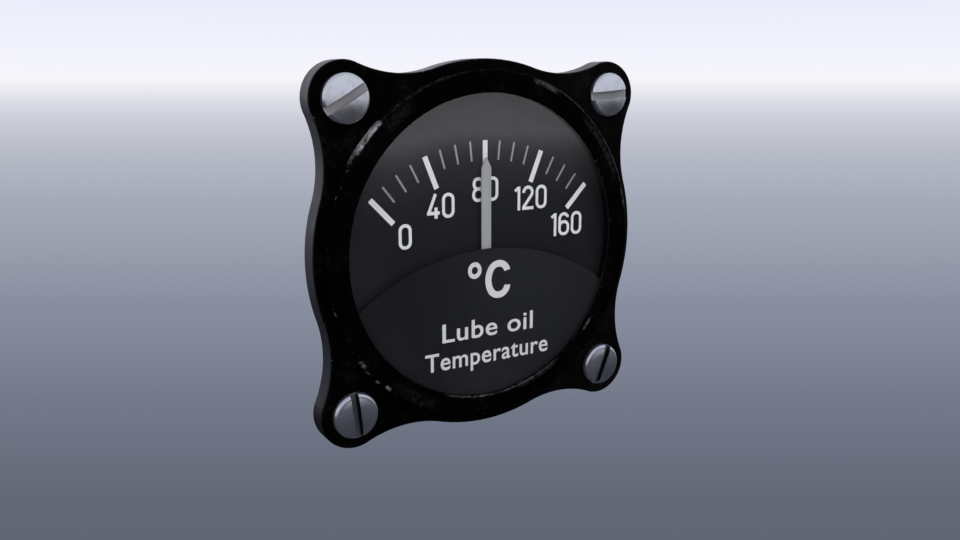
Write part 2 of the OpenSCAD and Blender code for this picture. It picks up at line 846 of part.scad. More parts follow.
front_flange();
bezel_ring();
cover_glass();
glass_gasket();
spacer_ring();
dial_mask();
dial_plate();
dial_screws();
dial_feet();
movement_plate();
movement_screws();
jewel_bush();
ring_jewel();
front_spacers();
rear_spacers();
flux_ring();
core_magnet();
core_bar();
rear_bridge();
bridge_screws();
jewel_screw();
cup_jewel();
jewel_lock_nut();
stop_pins();
pointer();
pointer_hub();
front_staff();
rear_staff();
coil_inner();
coil_outer();
balance_cross();
balance_weights();
ligaments();
ligament_posts();
board_posts();
terminal_board();
board_screws();
bobbin_formers();
bobbin_windings();
solder_tags();
lead_wires();
case_drum();
cover_seal();
rear_cover();
cover_screws();
connector_shell();
connector_nut();
connector_insert();
insert_ring();
contact_pins();
mounting_screws();
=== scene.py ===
"""Oil temperature gauge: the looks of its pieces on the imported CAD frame.

Sizes are in millimetres and become metres where a mesh or a node is made. Seen by
someone who reads the dial, X runs to the right, Z up, and -Y towards the reader.
"""

import logging
import math
from collections.abc import Callable, Iterable
from dataclasses import dataclass
from enum import Enum
from functools import partial, reduce

import bpy
from mathutils import Matrix, Vector


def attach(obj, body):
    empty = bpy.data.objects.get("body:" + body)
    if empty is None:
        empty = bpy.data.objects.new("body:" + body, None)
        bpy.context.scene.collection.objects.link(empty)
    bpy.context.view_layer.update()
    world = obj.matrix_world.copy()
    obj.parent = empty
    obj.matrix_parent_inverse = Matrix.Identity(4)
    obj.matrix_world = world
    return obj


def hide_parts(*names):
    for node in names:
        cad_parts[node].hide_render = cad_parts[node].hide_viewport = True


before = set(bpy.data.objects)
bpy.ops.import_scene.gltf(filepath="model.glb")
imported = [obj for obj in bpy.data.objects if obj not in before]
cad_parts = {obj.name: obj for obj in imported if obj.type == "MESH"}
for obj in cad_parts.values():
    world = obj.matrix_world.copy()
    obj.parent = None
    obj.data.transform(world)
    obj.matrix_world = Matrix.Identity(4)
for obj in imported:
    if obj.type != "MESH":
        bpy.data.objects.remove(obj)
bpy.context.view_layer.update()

# One millimetre, in the frame's metres
MM = 0.001
log = logging.getLogger("gauge")

Colour = tuple[float, float, float]
Place = tuple[float, float, float]
Spot = tuple[float, float]
Stops = tuple[tuple[float, Colour], ...]
Piece = bpy.types.Object
Material = bpy.types.Material
Socket = bpy.types.NodeSocket


class Desk:
    """The node tree of one finish, with short calls for the nodes that finishes share."""

    def __init__(self, name: str, sky: bool = False) -> None:
        """Starts a material with one Principled shader, or a world with its background.

        Args:
            name: the finish's name.
            sky: makes it a world.
        """
        self.owner = (bpy.data.worlds if sky else bpy.data.materials).new(name)
        self.owner.use_nodes = True
        self.tree = self.owner.node_tree
        self.shader = self.tree.nodes["Background" if sky else "Principled BSDF"]
        coordinates = self.node("ShaderNodeTexCoord")
        self.place = coordinates.outputs["Generated" if sky else "Object"]

    def node(self, kind: str, *values: object, **settings: object) -> bpy.types.Node:
        """Adds a node.

        Args:
            kind: Blender's name of the node type.
            values: sockets, numbers or colours for its first inputs, in their order.
            settings: properties of the node, by name.

        Returns:
            The new node.
        """
        made = self.tree.nodes.new(kind)
        for name, value in settings.items():
            setattr(made, name, value)
        for socket, value in zip(made.inputs, values):
            self.feed(socket, value)
        return made

    def feed(self, socket: Socket, value: object) -> None:
        """Links a socket to another, or sets its value.

        Args:
            socket: the input.
            value: an output socket, a number or a colour.
        """
        if isinstance(value, bpy.types.NodeSocket):
            self.tree.links.new(value, socket)
        elif isinstance(value, tuple) and socket.type == "RGBA":
            socket.default_value = (*value, 1.0)
        else:
            socket.default_value = value

    def maths(self, operation: str, a: object, b: object = 0.0, clamp: bool = False) -> Socket:
        """The result of a sum by Blender's name of it, kept within 0 and 1 if clamped."""
        return self.node("ShaderNodeMath", a, b, operation=operation, use_clamp=clamp).outputs[0]

    def times(self, *values: object) -> Socket:
        """The product of some values."""
        return reduce(partial(self.maths, "MULTIPLY"), values)

    def most(self, *values: object) -> Socket:
        """The largest of some values."""
        return reduce(partial(self.maths, "MAXIMUM"), values)

    def plus(self, a: object, b: object) -> Socket:
        """The sum of two values."""
        return self.maths("ADD", a, b)

    def minus(self, a: object, b: object) -> Socket:
        """One value less another."""
        return self.maths("SUBTRACT", a, b)

    def noise(self, grains_per_mm: float, detail: float = 3.0, stretch: Place = (1, 1, 1),
              roughness: float = 0.5, seed: float = 0.0) -> Socket:
        """Reads a noise at a place on the gauge.

        Args:
            grains_per_mm: how many grains fit in a millimetre.
            detail: how many finer layers are added.
            stretch: scale of the place along each axis.
            roughness: weight of the finer layers.
            seed: moves the pattern, in millimetres.

        Returns:
            A value between 0 and 1.
        """
        shift, no_turn = (seed * MM,) * 3, (0, 0, 0)
        mapping = self.node("ShaderNodeMapping", self.place, shift, no_turn, stretch)
        made = self.node("ShaderNodeTexNoise", mapping.outputs[0])
        made.inputs["Scale"].default_value = grains_per_mm / MM
        made.inputs["Detail"].default_value = detail
        made.inputs["Roughness"].default_value = roughness
        return made.outputs["Fac"]

    def between(self, value: Socket, low: float, high: float, start: float = 0.0,
                end: float = 1.0) -> Socket:
        """A soft step, from start below a stretch of a value to end above it."""
        return self.node("ShaderNodeMapRange", value, low, high, start, end,
                         interpolation_type="SMOOTHSTEP").outputs["Result"]

    def until(self, value: Socket, low: float, high: float) -> Socket:
        """A soft step down, from 1 below a stretch of a value to 0 above it."""
        return self.between(value, low, high, 1.0, 0.0)

    def tint(self, share: object, a: object, b: object) -> Socket:
        """Mixes two colours.

        Args:
            share: how much of the second colour shows.
            a: first colour.
            b: second colour.

        Returns:
            The mixed colour.
        """
        made = self.node("ShaderNodeMix", share, data_type="RGBA")
        colours = [socket for socket in made.inputs if socket.type == "RGBA"]
        for socket, value in zip(colours, (a, b)):
            self.feed(socket, value)
        return next(socket for socket in made.outputs if socket.type == "RGBA")

    def ramp(self, value: Socket, stops: Stops) -> Socket:
        """Turns a value into a colour.

        Args:
            value: the value.
            stops: places between 0 and 1 in order, and their colours.

        Returns:
            The colour.
        """
        made = self.node("ShaderNodeValToRGB", value)
        band = made.color_ramp.elements
        for element, (at, colour) in zip(band, (stops[0], stops[-1])):
            element.position = at
            element.color = (*colour, 1)
        for at, colour in stops[1:-1]:
            band.new(at).color = (*colour, 1)
        return made.outputs[0]

    def axes(self) -> tuple[Socket, Socket, Socket]:
        """The place's three coordinates, in metres."""
        return tuple(self.node("ShaderNodeSeparateXYZ", self.place).outputs)

    def reach(self, x: Socket, z: Socket, centre: Spot = (0.0, 0.0)) -> Socket:
        """Distance from a line along the case axis.

        Args:
            x: the place's X.
            z: the place's Z.
            centre: the line's X and Z, in millimetres.

        Returns:
            The distance in millimetres.
        """
        away_x, away_z = (self.minus(at, middle * MM) for at, middle in zip((x, z), centre))
        gap = self.node("ShaderNodeCombineXYZ", away_x, 0.0, away_z)
        made = self.node("ShaderNodeVectorMath", gap.outputs[0], operation="LENGTH")
        return self.times(made.outputs["Value"], 1 / MM)

    def towards(self, x: Socket, z: Socket, angle: float) -> Socket:
        """Cosine of the angle between a place, seen from the case axis, and a direction.

        Args:
            x: the place's X.
            z: the place's Z.
            angle: the direction in degrees, 0 to the right and 90 up.

        Returns:
            The cosine.
        """
        turn = math.radians(angle)
        along = self.plus(self.times(x, math.cos(turn) / MM), self.times(z, math.sin(turn) / MM))
        return self.maths("DIVIDE", along, self.reach(x, z))

    def facing_reader(self) -> Socket:
        """Says how much a surface faces the reader of the dial.

        Returns:
            A value from 0 at its sides to 1.
        """
        normal = self.node("ShaderNodeNewGeometry").outputs["Normal"]
        parts = self.node("ShaderNodeSeparateXYZ", normal)
        return self.maths("MULTIPLY", parts.outputs[1], -1.0, clamp=True)

    def ray(self, kind: str) -> Socket:
        """Says whether a ray is of a kind, such as Glossy."""
        return self.node("ShaderNodeLightPath").outputs[f"Is {kind} Ray"]

    def relief(self, height: Socket, depth_mm: float) -> None:
        """Gives the surface small hills.

        Args:
            height: their height, from 0 to 1.
            depth_mm: how high 1 is.
        """
        made = self.node("ShaderNodeBump")
        made.inputs["Distance"].default_value = depth_mm * MM
        self.feed(made.inputs["Height"], height)
        self.feed(self.shader.inputs["Normal"], made.outputs[0])

    def mixed(self, share: Socket, a: Socket, b: Socket) -> Socket:
        """Mixes two shaders, the second by a share."""
        return self.node("ShaderNodeMixShader", share, a, b).outputs[0]

    def surface(self, shader: Socket) -> None:
        """Shows a shader other than the material's first one."""
        self.feed(self.tree.nodes["Material Output"].inputs["Surface"], shader)

    def set(self, **values: object) -> None:
        """Sets the shader's inputs.

        Args:
            values: sockets, numbers or colours by input name, with _ for a space.
        """
        for name, value in values.items():
            self.feed(self.shader.inputs[name.replace("_", " ")], value)


class Grain(Enum):
    """How a bare metal was made: its grain's stretch, depth in mm, and grains per mm."""

    TURNED = ((1, 14, 1), 0.004, 4.0)
    ROLLED = ((0.06, 1, 1), 0.003, 4.0)
    CAST = ((1, 1, 1), 0.02, 2.2)
    POLISHED = ((0.5, 1, 0.5), 0.0008, 4.0)


@dataclass(frozen=True)
class BareMetal:
    """A metal without paint: grain, faint blotches and dull stains."""

    name: str
    colour: Colour
    stain: Colour
    grain: Grain = Grain.TURNED
    roughness: float = 0.3

    def make(self) -> Material:
        """Builds the material.

        Returns:
            The material.
        """
        desk = Desk(self.name)
        stretch, depth, grains = self.grain.value
        fine = desk.noise(grains, 3.0, stretch)
        blotch = desk.noise(0.35, 4.0, seed=7)
        shade = desk.tint(desk.between(fine, 0.3, 0.7, 0.0, 0.35), self.colour, self.stain)
        stained = desk.between(blotch, 0.52, 0.72, 0.0, 0.55)
        desk.set(Base_Color=desk.tint(stained, shade, self.stain), Metallic=1.0,
                 Roughness=desk.between(fine, 0.25, 0.75, self.roughness * 0.8,
                                        self.roughness * 1.35))
        desk.relief(fine, depth)
        return desk.owner


@dataclass(frozen=True)
class RubOrHighlight:
    """A place on a round edge shown in the bare colour, where the enamel is rubbed or a highlight
    is painted: degrees and millimetres.
    """

    angle: float
    spread: float
    radius: float
    width: float
    amount: float

    def mark(self, desk: Desk, x: Socket, z: Socket, radius: Socket, chips: Socket) -> Socket:
        """Marks the place.

        Args:
            desk: the finish's desk.
            x: the place's X.
            z: the place's Z.
            radius: its distance from the case axis.
            chips: the noise that makes the mark ragged.

        Returns:
            How much of the bare colour shows there, as rubbed metal or as a painted highlight.
        """
        end, core = (math.cos(math.radians(self.spread * share)) for share in (1.0, 0.3))
        along = desk.between(desk.towards(x, z, self.angle), end, core)
        away = desk.maths("ABSOLUTE", desk.minus(radius, self.radius))
        across = desk.until(away, self.width * 0.3, self.width)
        ragged = desk.between(chips, 0.38, 0.6, 0.08, 1.0)
        return desk.times(along, across, desk.times(ragged, self.amount))


@dataclass(frozen=True)
class WornBlack:
    """Black enamel, painted greyer on its sides as a painted sheen, rubbed or given painted
    highlights along arcs, and scuffed in patches.

    The sides are painted darker over the low end and lighter over the high end, as painted shade
    and light, and so is their shine. The front is hazier along the haze's run to the right. All
    three are stretches in millimetres.
    """

    name: str
    front: Colour = (0.0004, 0.0004, 0.0006)
    # The sides' grey is a painted sheen.
    side: Colour = (0.012, 0.0119, 0.014)
    bare_and_highlight: Colour = (0.42, 0.42, 0.45)
    scuff: Colour = (0.03, 0.029, 0.029)
    scuffed: float = 0.3
    roughness: float = 0.4
    shine: float = 0.008
    side_shine: float = 0.35
    chipped: float = 0.3
    hazed: float = 0.0
    rubs_and_highlights: tuple[RubOrHighlight, ...] = ()
    low_end: Spot = (-22.0, -13.0)
    high_end: Spot = (17.0, 26.0)
    haze_run: Spot = (-12.0, 24.0)

    def make(self) -> Material:
        """Builds the material.

        Returns:
            The material.
        """
        desk = Desk(self.name)
        x, _, z = desk.axes()
        front = desk.facing_reader()
        radius = desk.reach(x, z)
        chips = desk.noise(1.3, 6.0, roughness=0.66)
        fine = desk.noise(5.0, 3.0, seed=3)
        clouds = desk.noise(0.22, 3.0, seed=21)
        low_end, high_end, haze_run = ([at * MM for at in span]
                                       for span in (self.low_end, self.high_end, self.haze_run))
        # Painted shade and light: the sides are darker towards the bottom and lighter towards the
        # top.
        painted_side_light = desk.times(desk.between(z, *low_end, 0.55, 1.0),
                          desk.between(z, *high_end, 1.0, 1.5))
        side = desk.tint(painted_side_light, (0.0, 0.0, 0.0), self.side)
        colour = desk.tint(desk.between(front, 0.25, 0.9), side, self.front)
        haze = desk.times(desk.between(x, *haze_run, 0.1, 1.0),
                          desk.between(clouds, 0.2, 0.6, 0.4 * self.hazed, self.hazed))
        patches = desk.times(desk.between(clouds, 0.46, 0.66), desk.between(chips, 0.4, 0.75),
                             self.scuffed)
        for share in (haze, patches):
            colour = desk.tint(share, colour, self.scuff)
        edge = desk.between(desk.times(front, desk.minus(1.0, front)), 0.03, 0.2)
        # The bare colour shows at chips and rubs, and as painted highlights along the bezel's
        # edges.
        bare_and_highlight = desk.most(desk.times(edge, desk.between(chips, 0.6, 0.74), self.chipped),
                         *(rub_or_highlight.mark(desk, x, z, radius, chips) for rub_or_highlight in self.rubs_and_highlights))
        gloss = desk.plus(desk.times(painted_side_light, desk.between(front, 0.1, 0.7, self.side_shine, 0.0)),
                          desk.between(front, 0.1, 0.7, 0.0, self.shine))
        desk.set(Base_Color=desk.tint(bare_and_highlight, colour, self.bare_and_highlight),
                 Metallic=desk.maths("MULTIPLY", bare_and_highlight, 0.5, clamp=True),
                 Roughness=desk.between(clouds, 0.3, 0.7, self.roughness * 0.85,
                                        self.roughness * 1.2),
                 Specular_IOR_Level=gloss)
        desk.relief(desk.minus(fine, bare_and_highlight), 0.006)
        return desk.owner


@dataclass(frozen=True)
class PaintedLight:
    """A soft area of painted light, lighter than the paint: its centre, and where it begins and
    ends to fade.
    """

    x: float
    z: float
    inner: float
    outer: float
    gain: float


@dataclass(frozen=True)
class FlatPaint:
    """Dull paint with a fine grain, lighter in soft areas of painted light, and a little dust near
    a rim, which where raised also lightens the rim as painted light.
    """

    name: str
    colour: Colour
    dust_and_light: Colour = (0.03, 0.03, 0.031)
    dust_and_light_share: float = 0.06
    rim_mm: float = 24.0
    rim_band_mm: float = 9.0
    roughness: float = 0.62
    shine: float = 0.05
    mottle: float = 0.25
    painted_light: tuple[PaintedLight, ...] = ()

    def scaled(self, gain: float) -> Colour:
        """The paint's colour, lighter or darker."""
        return tuple(part * gain for part in self.colour)

    def make(self) -> Material:
        """Builds the material.

        Returns:
            The material.
        """
        desk = Desk(self.name)
        x, _, z = desk.axes()
        grain = desk.noise(3.2, 2.0)
        cloud = desk.noise(0.16, 4.0, seed=2)
        specks = desk.noise(0.6, 6.0, seed=9, roughness=0.6)
        rim = desk.between(desk.reach(x, z), self.rim_mm - self.rim_band_mm, self.rim_mm)
        most, darker, lighter = self.dust_and_light_share, 1 - 0.5 * self.mottle, 1 + self.mottle
        # Dust near the rim; a raised share also lightens the rim as painted light.
        dust_and_light = desk.times(desk.between(specks, 0.3, 0.75, 0.5 * most, most), rim)
        base = desk.tint(desk.between(cloud, 0.35, 0.65), self.colour, self.scaled(darker))
        base = desk.tint(desk.between(grain, 0.42, 0.62, 0.0, 0.5), base, self.scaled(lighter))
        # Painted light: soft areas lighter than the paint.
        for area in self.painted_light:
            away = desk.reach(x, z, (area.x, area.z))
            base = desk.tint(desk.until(away, area.inner, area.outer), base, self.scaled(area.gain))
        desk.set(Base_Color=desk.tint(dust_and_light, base, self.dust_and_light),
                 Roughness=desk.between(grain, 0.3, 0.7, self.roughness * 0.92,
                                        self.roughness * 1.08),
                 Specular_IOR_Level=self.shine)
        desk.relief(grain, 0.0015)
        return desk.owner


@dataclass(frozen=True)
class PrintedInk:
    """Printing ink: nearly even, a little thinner here and there."""

    name: str
    colour: Colour
    fade: Colour

    def make(self) -> Material:
        """Builds the material.

        Returns:
            The material.
        """
        desk = Desk(self.name)
        thin = desk.noise(1.4, 4.0, seed=4)
        worn = desk.between(thin, 0.35, 0.75, 0.0, 0.6)
        desk.set(Base_Color=desk.tint(worn, self.colour, self.fade),
                 Roughness=desk.between(thin, 0.3, 0.7, 0.5, 0.62), Specular_IOR_Level=0.2)
        desk.relief(desk.noise(6.0, 2.0), 0.002)
        return desk.owner


@dataclass(frozen=True)
class SlottedSteel:
    """Bright turned steel of the front screws: film in the upper slots, painted shade in the lower.

    Heights are above the flange's face, reaches from the nearest screw's axis.
    """

    name: str
    pitch_mm: float
    seat_mm: float
    wall_height: Spot = (0.9, 1.0)
    wall_reach: Spot = (2.95, 3.05)
    floor_height: Spot = (0.36, 0.4)
    floor_reach: Spot = (3.5, 3.58)
    lit_to: Spot = (0.2, 0.45)
    colour: Colour = (0.57, 0.585, 0.63)
    dull: Colour = (0.45, 0.46, 0.49)
    low_colour: Colour = (0.475, 0.49, 0.56)
    low_dull: Colour = (0.36, 0.375, 0.42)
    film: Colour = (0.25, 0.25, 0.26)
    rust: Colour = (0.24, 0.235, 0.24)
    low_slot_shade: Colour = (0.045, 0.047, 0.055)
    slot_shadow: Colour = (0.003, 0.003, 0.004)
    roughness: float = 0.2

    def make(self) -> Material:
        """Builds the material.

        Returns:
            The material.
        """
        desk = Desk(self.name)
        x, y, z = desk.axes()
        front = desk.facing_reader()
        low = desk.until(z, -5 * MM, 5 * MM)
        slot = self.slot(desk, x, y, z, front)
        cloud = desk.noise(0.7, 5.0, seed=6, roughness=0.6)
        # The lower heads take a darker, bluer steel: painted shade.
        steel = desk.tint(desk.between(cloud, 0.45, 0.75, 0.0, 0.7),
                          desk.tint(low, self.colour, self.low_colour),
                          desk.tint(low, self.dull, self.low_dull))
        rusty = desk.between(desk.noise(1.3, 4.0, seed=15), 0.45, 0.7)
        stain = desk.tint(rusty, self.film, self.rust)
        # Upper slots: film and rust stains. Lower slots: painted shade where the light reaches,
        # painted shadow where it doesn't, and less shine.
        stain_and_shade = desk.tint(low, stain, desk.tint(self.lit(desk, x, z, front), self.slot_shadow, self.low_slot_shade))
        dulled = desk.times(slot, desk.plus(desk.times(low, 0.33), 0.55))
        desk.set(Base_Color=desk.tint(slot, steel, stain_and_shade),
                 Metallic=desk.minus(0.93, dulled),
                 Specular_IOR_Level=desk.between(desk.times(slot, low), 0.0, 1.0, 0.5, 0.04),
                 Roughness=desk.plus(desk.between(cloud, 0.3, 0.8, self.roughness,
                                                  self.roughness * 1.4), desk.times(slot, 0.35)),
                 Anisotropic=0.55, Tangent=self.around(desk, x, z))
        desk.relief(cloud, 0.0012)
        return desk.owner

    def slot(self, desk: Desk, x: Socket, y: Socket, z: Socket, front: Socket) -> Socket:
        """Finds the walls and the floor of the slots.

        Args:
            desk: the finish's desk.
            x: the place's X.
            y: the place's Y.
            z: the place's Z.
            front: how much the surface faces the reader.

        Returns:
            How much a place belongs to a slot.
        """
        half = self.pitch_mm / 2
        away = desk.reach(desk.maths("ABSOLUTE", x), desk.maths("ABSOLUTE", z), (half, half))
        height = desk.times(y, -1 / MM)
        walls, ground = (
            desk.times(desk.until(height, self.seat_mm + low, self.seat_mm + high),
                       desk.until(away, *reach))
            for (low, high), reach in ((self.wall_height, self.wall_reach),
                                       (self.floor_height, self.floor_reach)))
        walls = desk.times(walls, desk.until(front, 0.3, 0.6))
        above = desk.between(height, self.seat_mm, self.seat_mm + 0.1)
        return desk.times(above, desk.most(walls, ground))

    def lit(self, desk: Desk, x: Socket, z: Socket, front: Socket) -> Socket:
        """Finds the side of the lower slots' floors that the light reaches.

        Args:
            desk: the finish's desk.
            x: the place's X.
            z: the place's Z.
            front: how much the surface faces the reader.

        Returns:
            How much light falls on a place.
        """
        half = self.pitch_mm / 2 * MM
        lean = desk.between(x, -MM, MM, 0.105, -0.375)
        from_x = desk.minus(x, desk.times(desk.maths("SIGN", x), half))
        across = desk.plus(desk.times(from_x, 0.96), desk.times(lean, desk.plus(z, half)))
        return desk.times(front, desk.until(across, *(at * MM for at in self.lit_to)))

    def around(self, desk: Desk, x: Socket, z: Socket) -> Socket:
        """Points the grain round the axis of the nearest screw.

        Args:
            desk: the finish's desk.
            x: the place's X.
            z: the place's Z.

        Returns:
            The grain's direction.
        """
        across, up = (
            desk.times(desk.minus(at, desk.times(desk.maths("SIGN", at), self.pitch_mm / 2 * MM)),
                       sign / MM)
            for at, sign in ((z, 1.0), (x, -1.0)))
        return desk.node("ShaderNodeCombineXYZ", across, 0.0, up).outputs[0]


@dataclass(frozen=True)
class Moulded:
    """Moulded plastic or rubber with a fine skin."""

    name: str
    colour: Colour
    bloom: Colour
    roughness: float = 0.5

    def make(self) -> Material:
        """Builds the material.

        Returns:
            The material.
        """
        desk = Desk(self.name)
        skin = desk.noise(2.5, 4.0)
        patch = desk.noise(0.3, 4.0, seed=8)
        pale = desk.between(patch, 0.4, 0.75, 0.0, 0.5)
        desk.set(Base_Color=desk.tint(pale, self.colour, self.bloom),
                 Roughness=desk.between(skin, 0.3, 0.7, self.roughness * 0.9,
                                        self.roughness * 1.15),
                 Specular_IOR_Level=0.4)
        desk.relief(skin, 0.008)
        return desk.owner


@dataclass(frozen=True)
class LaidBoard:
    """Laminated board: layers of paper in resin, seen as long faint fibres."""

    name: str
    colour: Colour = (0.2, 0.095, 0.035)
    fibre: Colour = (0.33, 0.18, 0.075)

    def make(self) -> Material:
        """Builds the material.

        Returns:
            The material.
        """
        desk = Desk(self.name)
        fibres = desk.noise(1.6, 5.0, stretch=(0.12, 4, 1), roughness=0.6)
        desk.set(Base_Color=desk.tint(desk.between(fibres, 0.42, 0.7), self.colour, self.fibre),
                 Roughness=desk.between(fibres, 0.3, 0.7, 0.4, 0.55))
        desk.relief(fibres, 0.006)
        return desk.owner


@dataclass(frozen=True)
class WoundWire:
    """Enamelled wire laid turn beside turn along the case axis, painted darker between the turns as
    painted shade.

    A wave texture of scale 1 runs through wave_rate radians in a metre.
    """

    name: str
    colour: Colour
    gap: Colour
    turns_per_mm: float
    wave_rate: float = 20.0

    def make(self) -> Material:
        """Builds the material.

        Returns:
            The material.
        """
        desk = Desk(self.name)
        turns = desk.node("ShaderNodeTexWave", desk.place, wave_type="BANDS",
                          bands_direction="Y", wave_profile="SIN")
        turns.inputs["Scale"].default_value = self.turns_per_mm / MM / self.wave_rate * math.tau
        turns.inputs["Distortion"].default_value = 0.4
        turns.inputs["Detail Scale"].default_value = 2.0
        crest = turns.outputs["Fac"]
        blotch = desk.noise(0.8, 3.0, seed=1)
        wire = desk.tint(desk.between(blotch, 0.4, 0.7, 0.0, 0.4), self.colour, self.gap)
        # Painted shade: the troughs between the turns take the gap colour.
        desk.set(Base_Color=desk.tint(desk.between(crest, 0.0, 0.4, 0.85, 0.0), wire, self.gap),
                 Metallic=0.8, Roughness=desk.between(blotch, 0.3, 0.7, 0.28, 0.42))
        desk.relief(crest, 0.03)
        return desk.owner


@dataclass(frozen=True)
class ClearGlass:
    """Glass or ruby that lets the lamps' light through to what it covers."""

    name: str
    colour: Colour
    haze: Colour
    index: float = 1.45
    shine: float = 0.27

    def make(self) -> Material:
        """Builds the material.

        Returns:
            The material.
        """
        desk = Desk(self.name)
        smear = desk.noise(0.12, 4.0, stretch=(1, 1, 0.4), seed=13)
        desk.set(Base_Color=desk.tint(desk.between(smear, 0.45, 0.75), self.colour, self.haze),
                 Transmission_Weight=1.0, Roughness=0.0, IOR=self.index,
                 Specular_IOR_Level=self.shine)
        clear = desk.node("ShaderNodeBsdfTransparent", self.colour)
        desk.surface(desk.mixed(desk.most(desk.ray("Shadow"), desk.ray("Diffuse")),
                                desk.shader.outputs[0], clear.outputs[0]))
        return desk.owner


class Bench:
    """The modelling steps that the pieces share."""

    @staticmethod
    def clear() -> None:
        """Leaves nothing selected."""
        bpy.ops.object.select_all(action="DESELECT")

    @staticmethod
    def only(piece: Piece) -> None:
        """Selects one piece and makes it active.

        Args:
            piece: the piece.
        """
        Bench.clear()
        piece.select_set(True)
        bpy.context.view_layer.objects.active = piece

    @staticmethod
    def settle(piece: Piece) -> Piece:
        """Puts a piece's place, turn and scale into its mesh.

        Args:
            piece: the piece.

        Returns:
            The piece.
        """
        Bench.only(piece)
        bpy.ops.object.transform_apply(location=True, rotation=True, scale=True)
        return piece

    @staticmethod
    def pick(piece: Piece, test: Callable[[Vector], bool]) -> None:
        """Goes into edit mode with some of a piece's vertices selected.

        Args:
            piece: the piece.
            test: says of a place whether its vertex is meant.
        """
        Bench.only(piece)
        bpy.ops.object.mode_set(mode="EDIT")
        bpy.ops.mesh.select_mode(type="VERT")
        bpy.ops.mesh.select_all(action="DESELECT")
        bpy.ops.object.mode_set(mode="OBJECT")
        for vertex in piece.data.vertices:
            vertex.select = test(vertex.co)
        bpy.ops.object.mode_set(mode="EDIT")

    @staticmethod
    def pick_all(piece: Piece) -> None:
        """Goes into edit mode with all of a piece selected."""
        Bench.pick(piece, lambda _: True)

    @staticmethod
    def done() -> None:
        """Leaves edit mode."""
        bpy.ops.object.mode_set(mode="OBJECT")

    @staticmethod
    def seal(piece: Piece, distance_mm: float = 0.002) -> Piece:
        """Merges vertices at one place and turns all faces outwards.

        Args:
            piece: the piece.
            distance_mm: how near two vertices are merged.

        Returns:
            The piece.
        """
        Bench.pick_all(piece)
        bpy.ops.mesh.remove_doubles(threshold=distance_mm * MM)
        bpy.ops.mesh.select_all(action="SELECT")
        bpy.ops.mesh.normals_make_consistent(inside=False)
        Bench.done()
        return piece

    @staticmethod
    def apply(piece: Piece, kind: str, **settings: object) -> None:
        """Adds a modifier and applies it.

        Args:
            piece: the piece.
            kind: Blender's name of the modifier type.
            settings: properties of the modifier, by name.
        """
        Bench.only(piece)
        modifier = piece.modifiers.new(kind.lower(), kind)
        for name, value in settings.items():
            setattr(modifier, name, value)
        bpy.ops.object.modifier_apply(modifier=modifier.name)

    @staticmethod
    def shown(name: str, data: bpy.types.ID) -> Piece:
        """Adds an object for a mesh, a lamp or a camera.

        Args:
            name: the object's name.
            data: what it shows.

        Returns:
            The object.
        """
        made = bpy.data.objects.new(name, data)
        bpy.context.scene.collection.objects.link(made)
        return made

    @staticmethod
    def card(width: float, height: float, face: float, x: float = 0.0, z: float = 0.0) -> Piece:
        """Adds an upright plane that looks at the reader.

        Args:
            width: its width, in millimetres.
            height: its height.
            face: its distance from the panel plane.
            x: its middle, to the right.
            z: its middle, upwards.

        Returns:
            The plane.
        """
        Bench.clear()
        bpy.ops.mesh.primitive_plane_add(size=1)
        card = bpy.context.object
        card.scale = (width * MM, height * MM, 1)
        card.rotation_euler = (math.radians(90), 0, 0)
        card.location = (x * MM, -face * MM, z * MM)
        return Bench.settle(card)

    @staticmethod
    def outline(corners: list[Spot]) -> Piece:
        """Adds a closed outline beside the case axis, to be turned about it.

        Args:
            corners: their distances from the axis, and their places along it.

        Returns:
            The outline, without a face.
        """
        Bench.clear()
        bpy.ops.mesh.primitive_circle_add(vertices=len(corners), radius=1)
        outline = Bench.settle(bpy.context.object)
        for vertex, (radius, y) in zip(outline.data.vertices, corners):
            vertex.co = (radius * MM, y * MM, 0)
        return outline

    @staticmethod
    def copied(piece: Piece, placing: Matrix) -> Piece:
        """Copies a piece with a mesh of its own.

        Args:
            piece: the piece.
            placing: where the copy goes, relative to the piece.

        Returns:
            The copy.
        """
        twin = piece.copy()
        twin.data = piece.data.copy()
        twin.data.transform(placing)
        bpy.context.scene.collection.objects.link(twin)
        return twin

    @staticmethod
    def twin(name: str, node: str) -> Piece:
        """Copies a CAD node's mesh into a new, merged piece."""
        return Bench.seal(Bench.shown(name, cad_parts[node].data.copy()))

    @staticmethod
    def smoothed(piece: Piece, sharp_from: float = 30.0) -> Piece:
        """Smooths a piece's shading between its sharp edges.

        Args:
            piece: the piece.
            sharp_from: least angle between the faces at a sharp edge, in degrees.

        Returns:
            The piece.
        """
        Bench.only(piece)
        bpy.ops.object.shade_smooth_by_angle(angle=math.radians(sharp_from))
        return piece

    @staticmethod
    def joined(name: str, pieces: Iterable[Piece]) -> Piece:
        """Makes one piece of several.

        Args:
            name: the name of the whole.
            pieces: its parts.

        Returns:
            The whole.
        """
        parts = list(pieces)
        Bench.only(parts[0])
        for part in parts:
            part.select_set(True)
        bpy.ops.object.join()
        whole = bpy.context.object
        whole.name = name
        whole.data.name = name
        return whole

    @staticmethod
    def dress(piece: Piece, finish: Material, slot: str, body: str = "gauge") -> None:
        """Gives a new piece its finish and the body it rides on.

        Args:
            piece: the piece.
            finish: its material.
            slot: not used.
            body: the CAD body.
        """
        piece.data.materials.clear()
        piece.data.materials.append(finish)
        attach(piece, body)
        log.info("%s: %d faces, rides on %s", piece.name, len(piece.data.polygons), body)


def about_case(x: float, z: float, degrees: float = 0.0) -> Matrix:
    """A turn, seen by the reader as anticlockwise, and then a shift in the dial's plane.

    Args:
        x: shift to the right, in millimetres.
        z: shift upwards, in millimetres.
        degrees: the turn about the line x = z = 0.

    Returns:
        The matrix.
    """
    turn = Matrix.Rotation(-math.radians(degrees), 4, "Y")
    return Matrix.Translation((x * MM, 0, z * MM)) @ turn


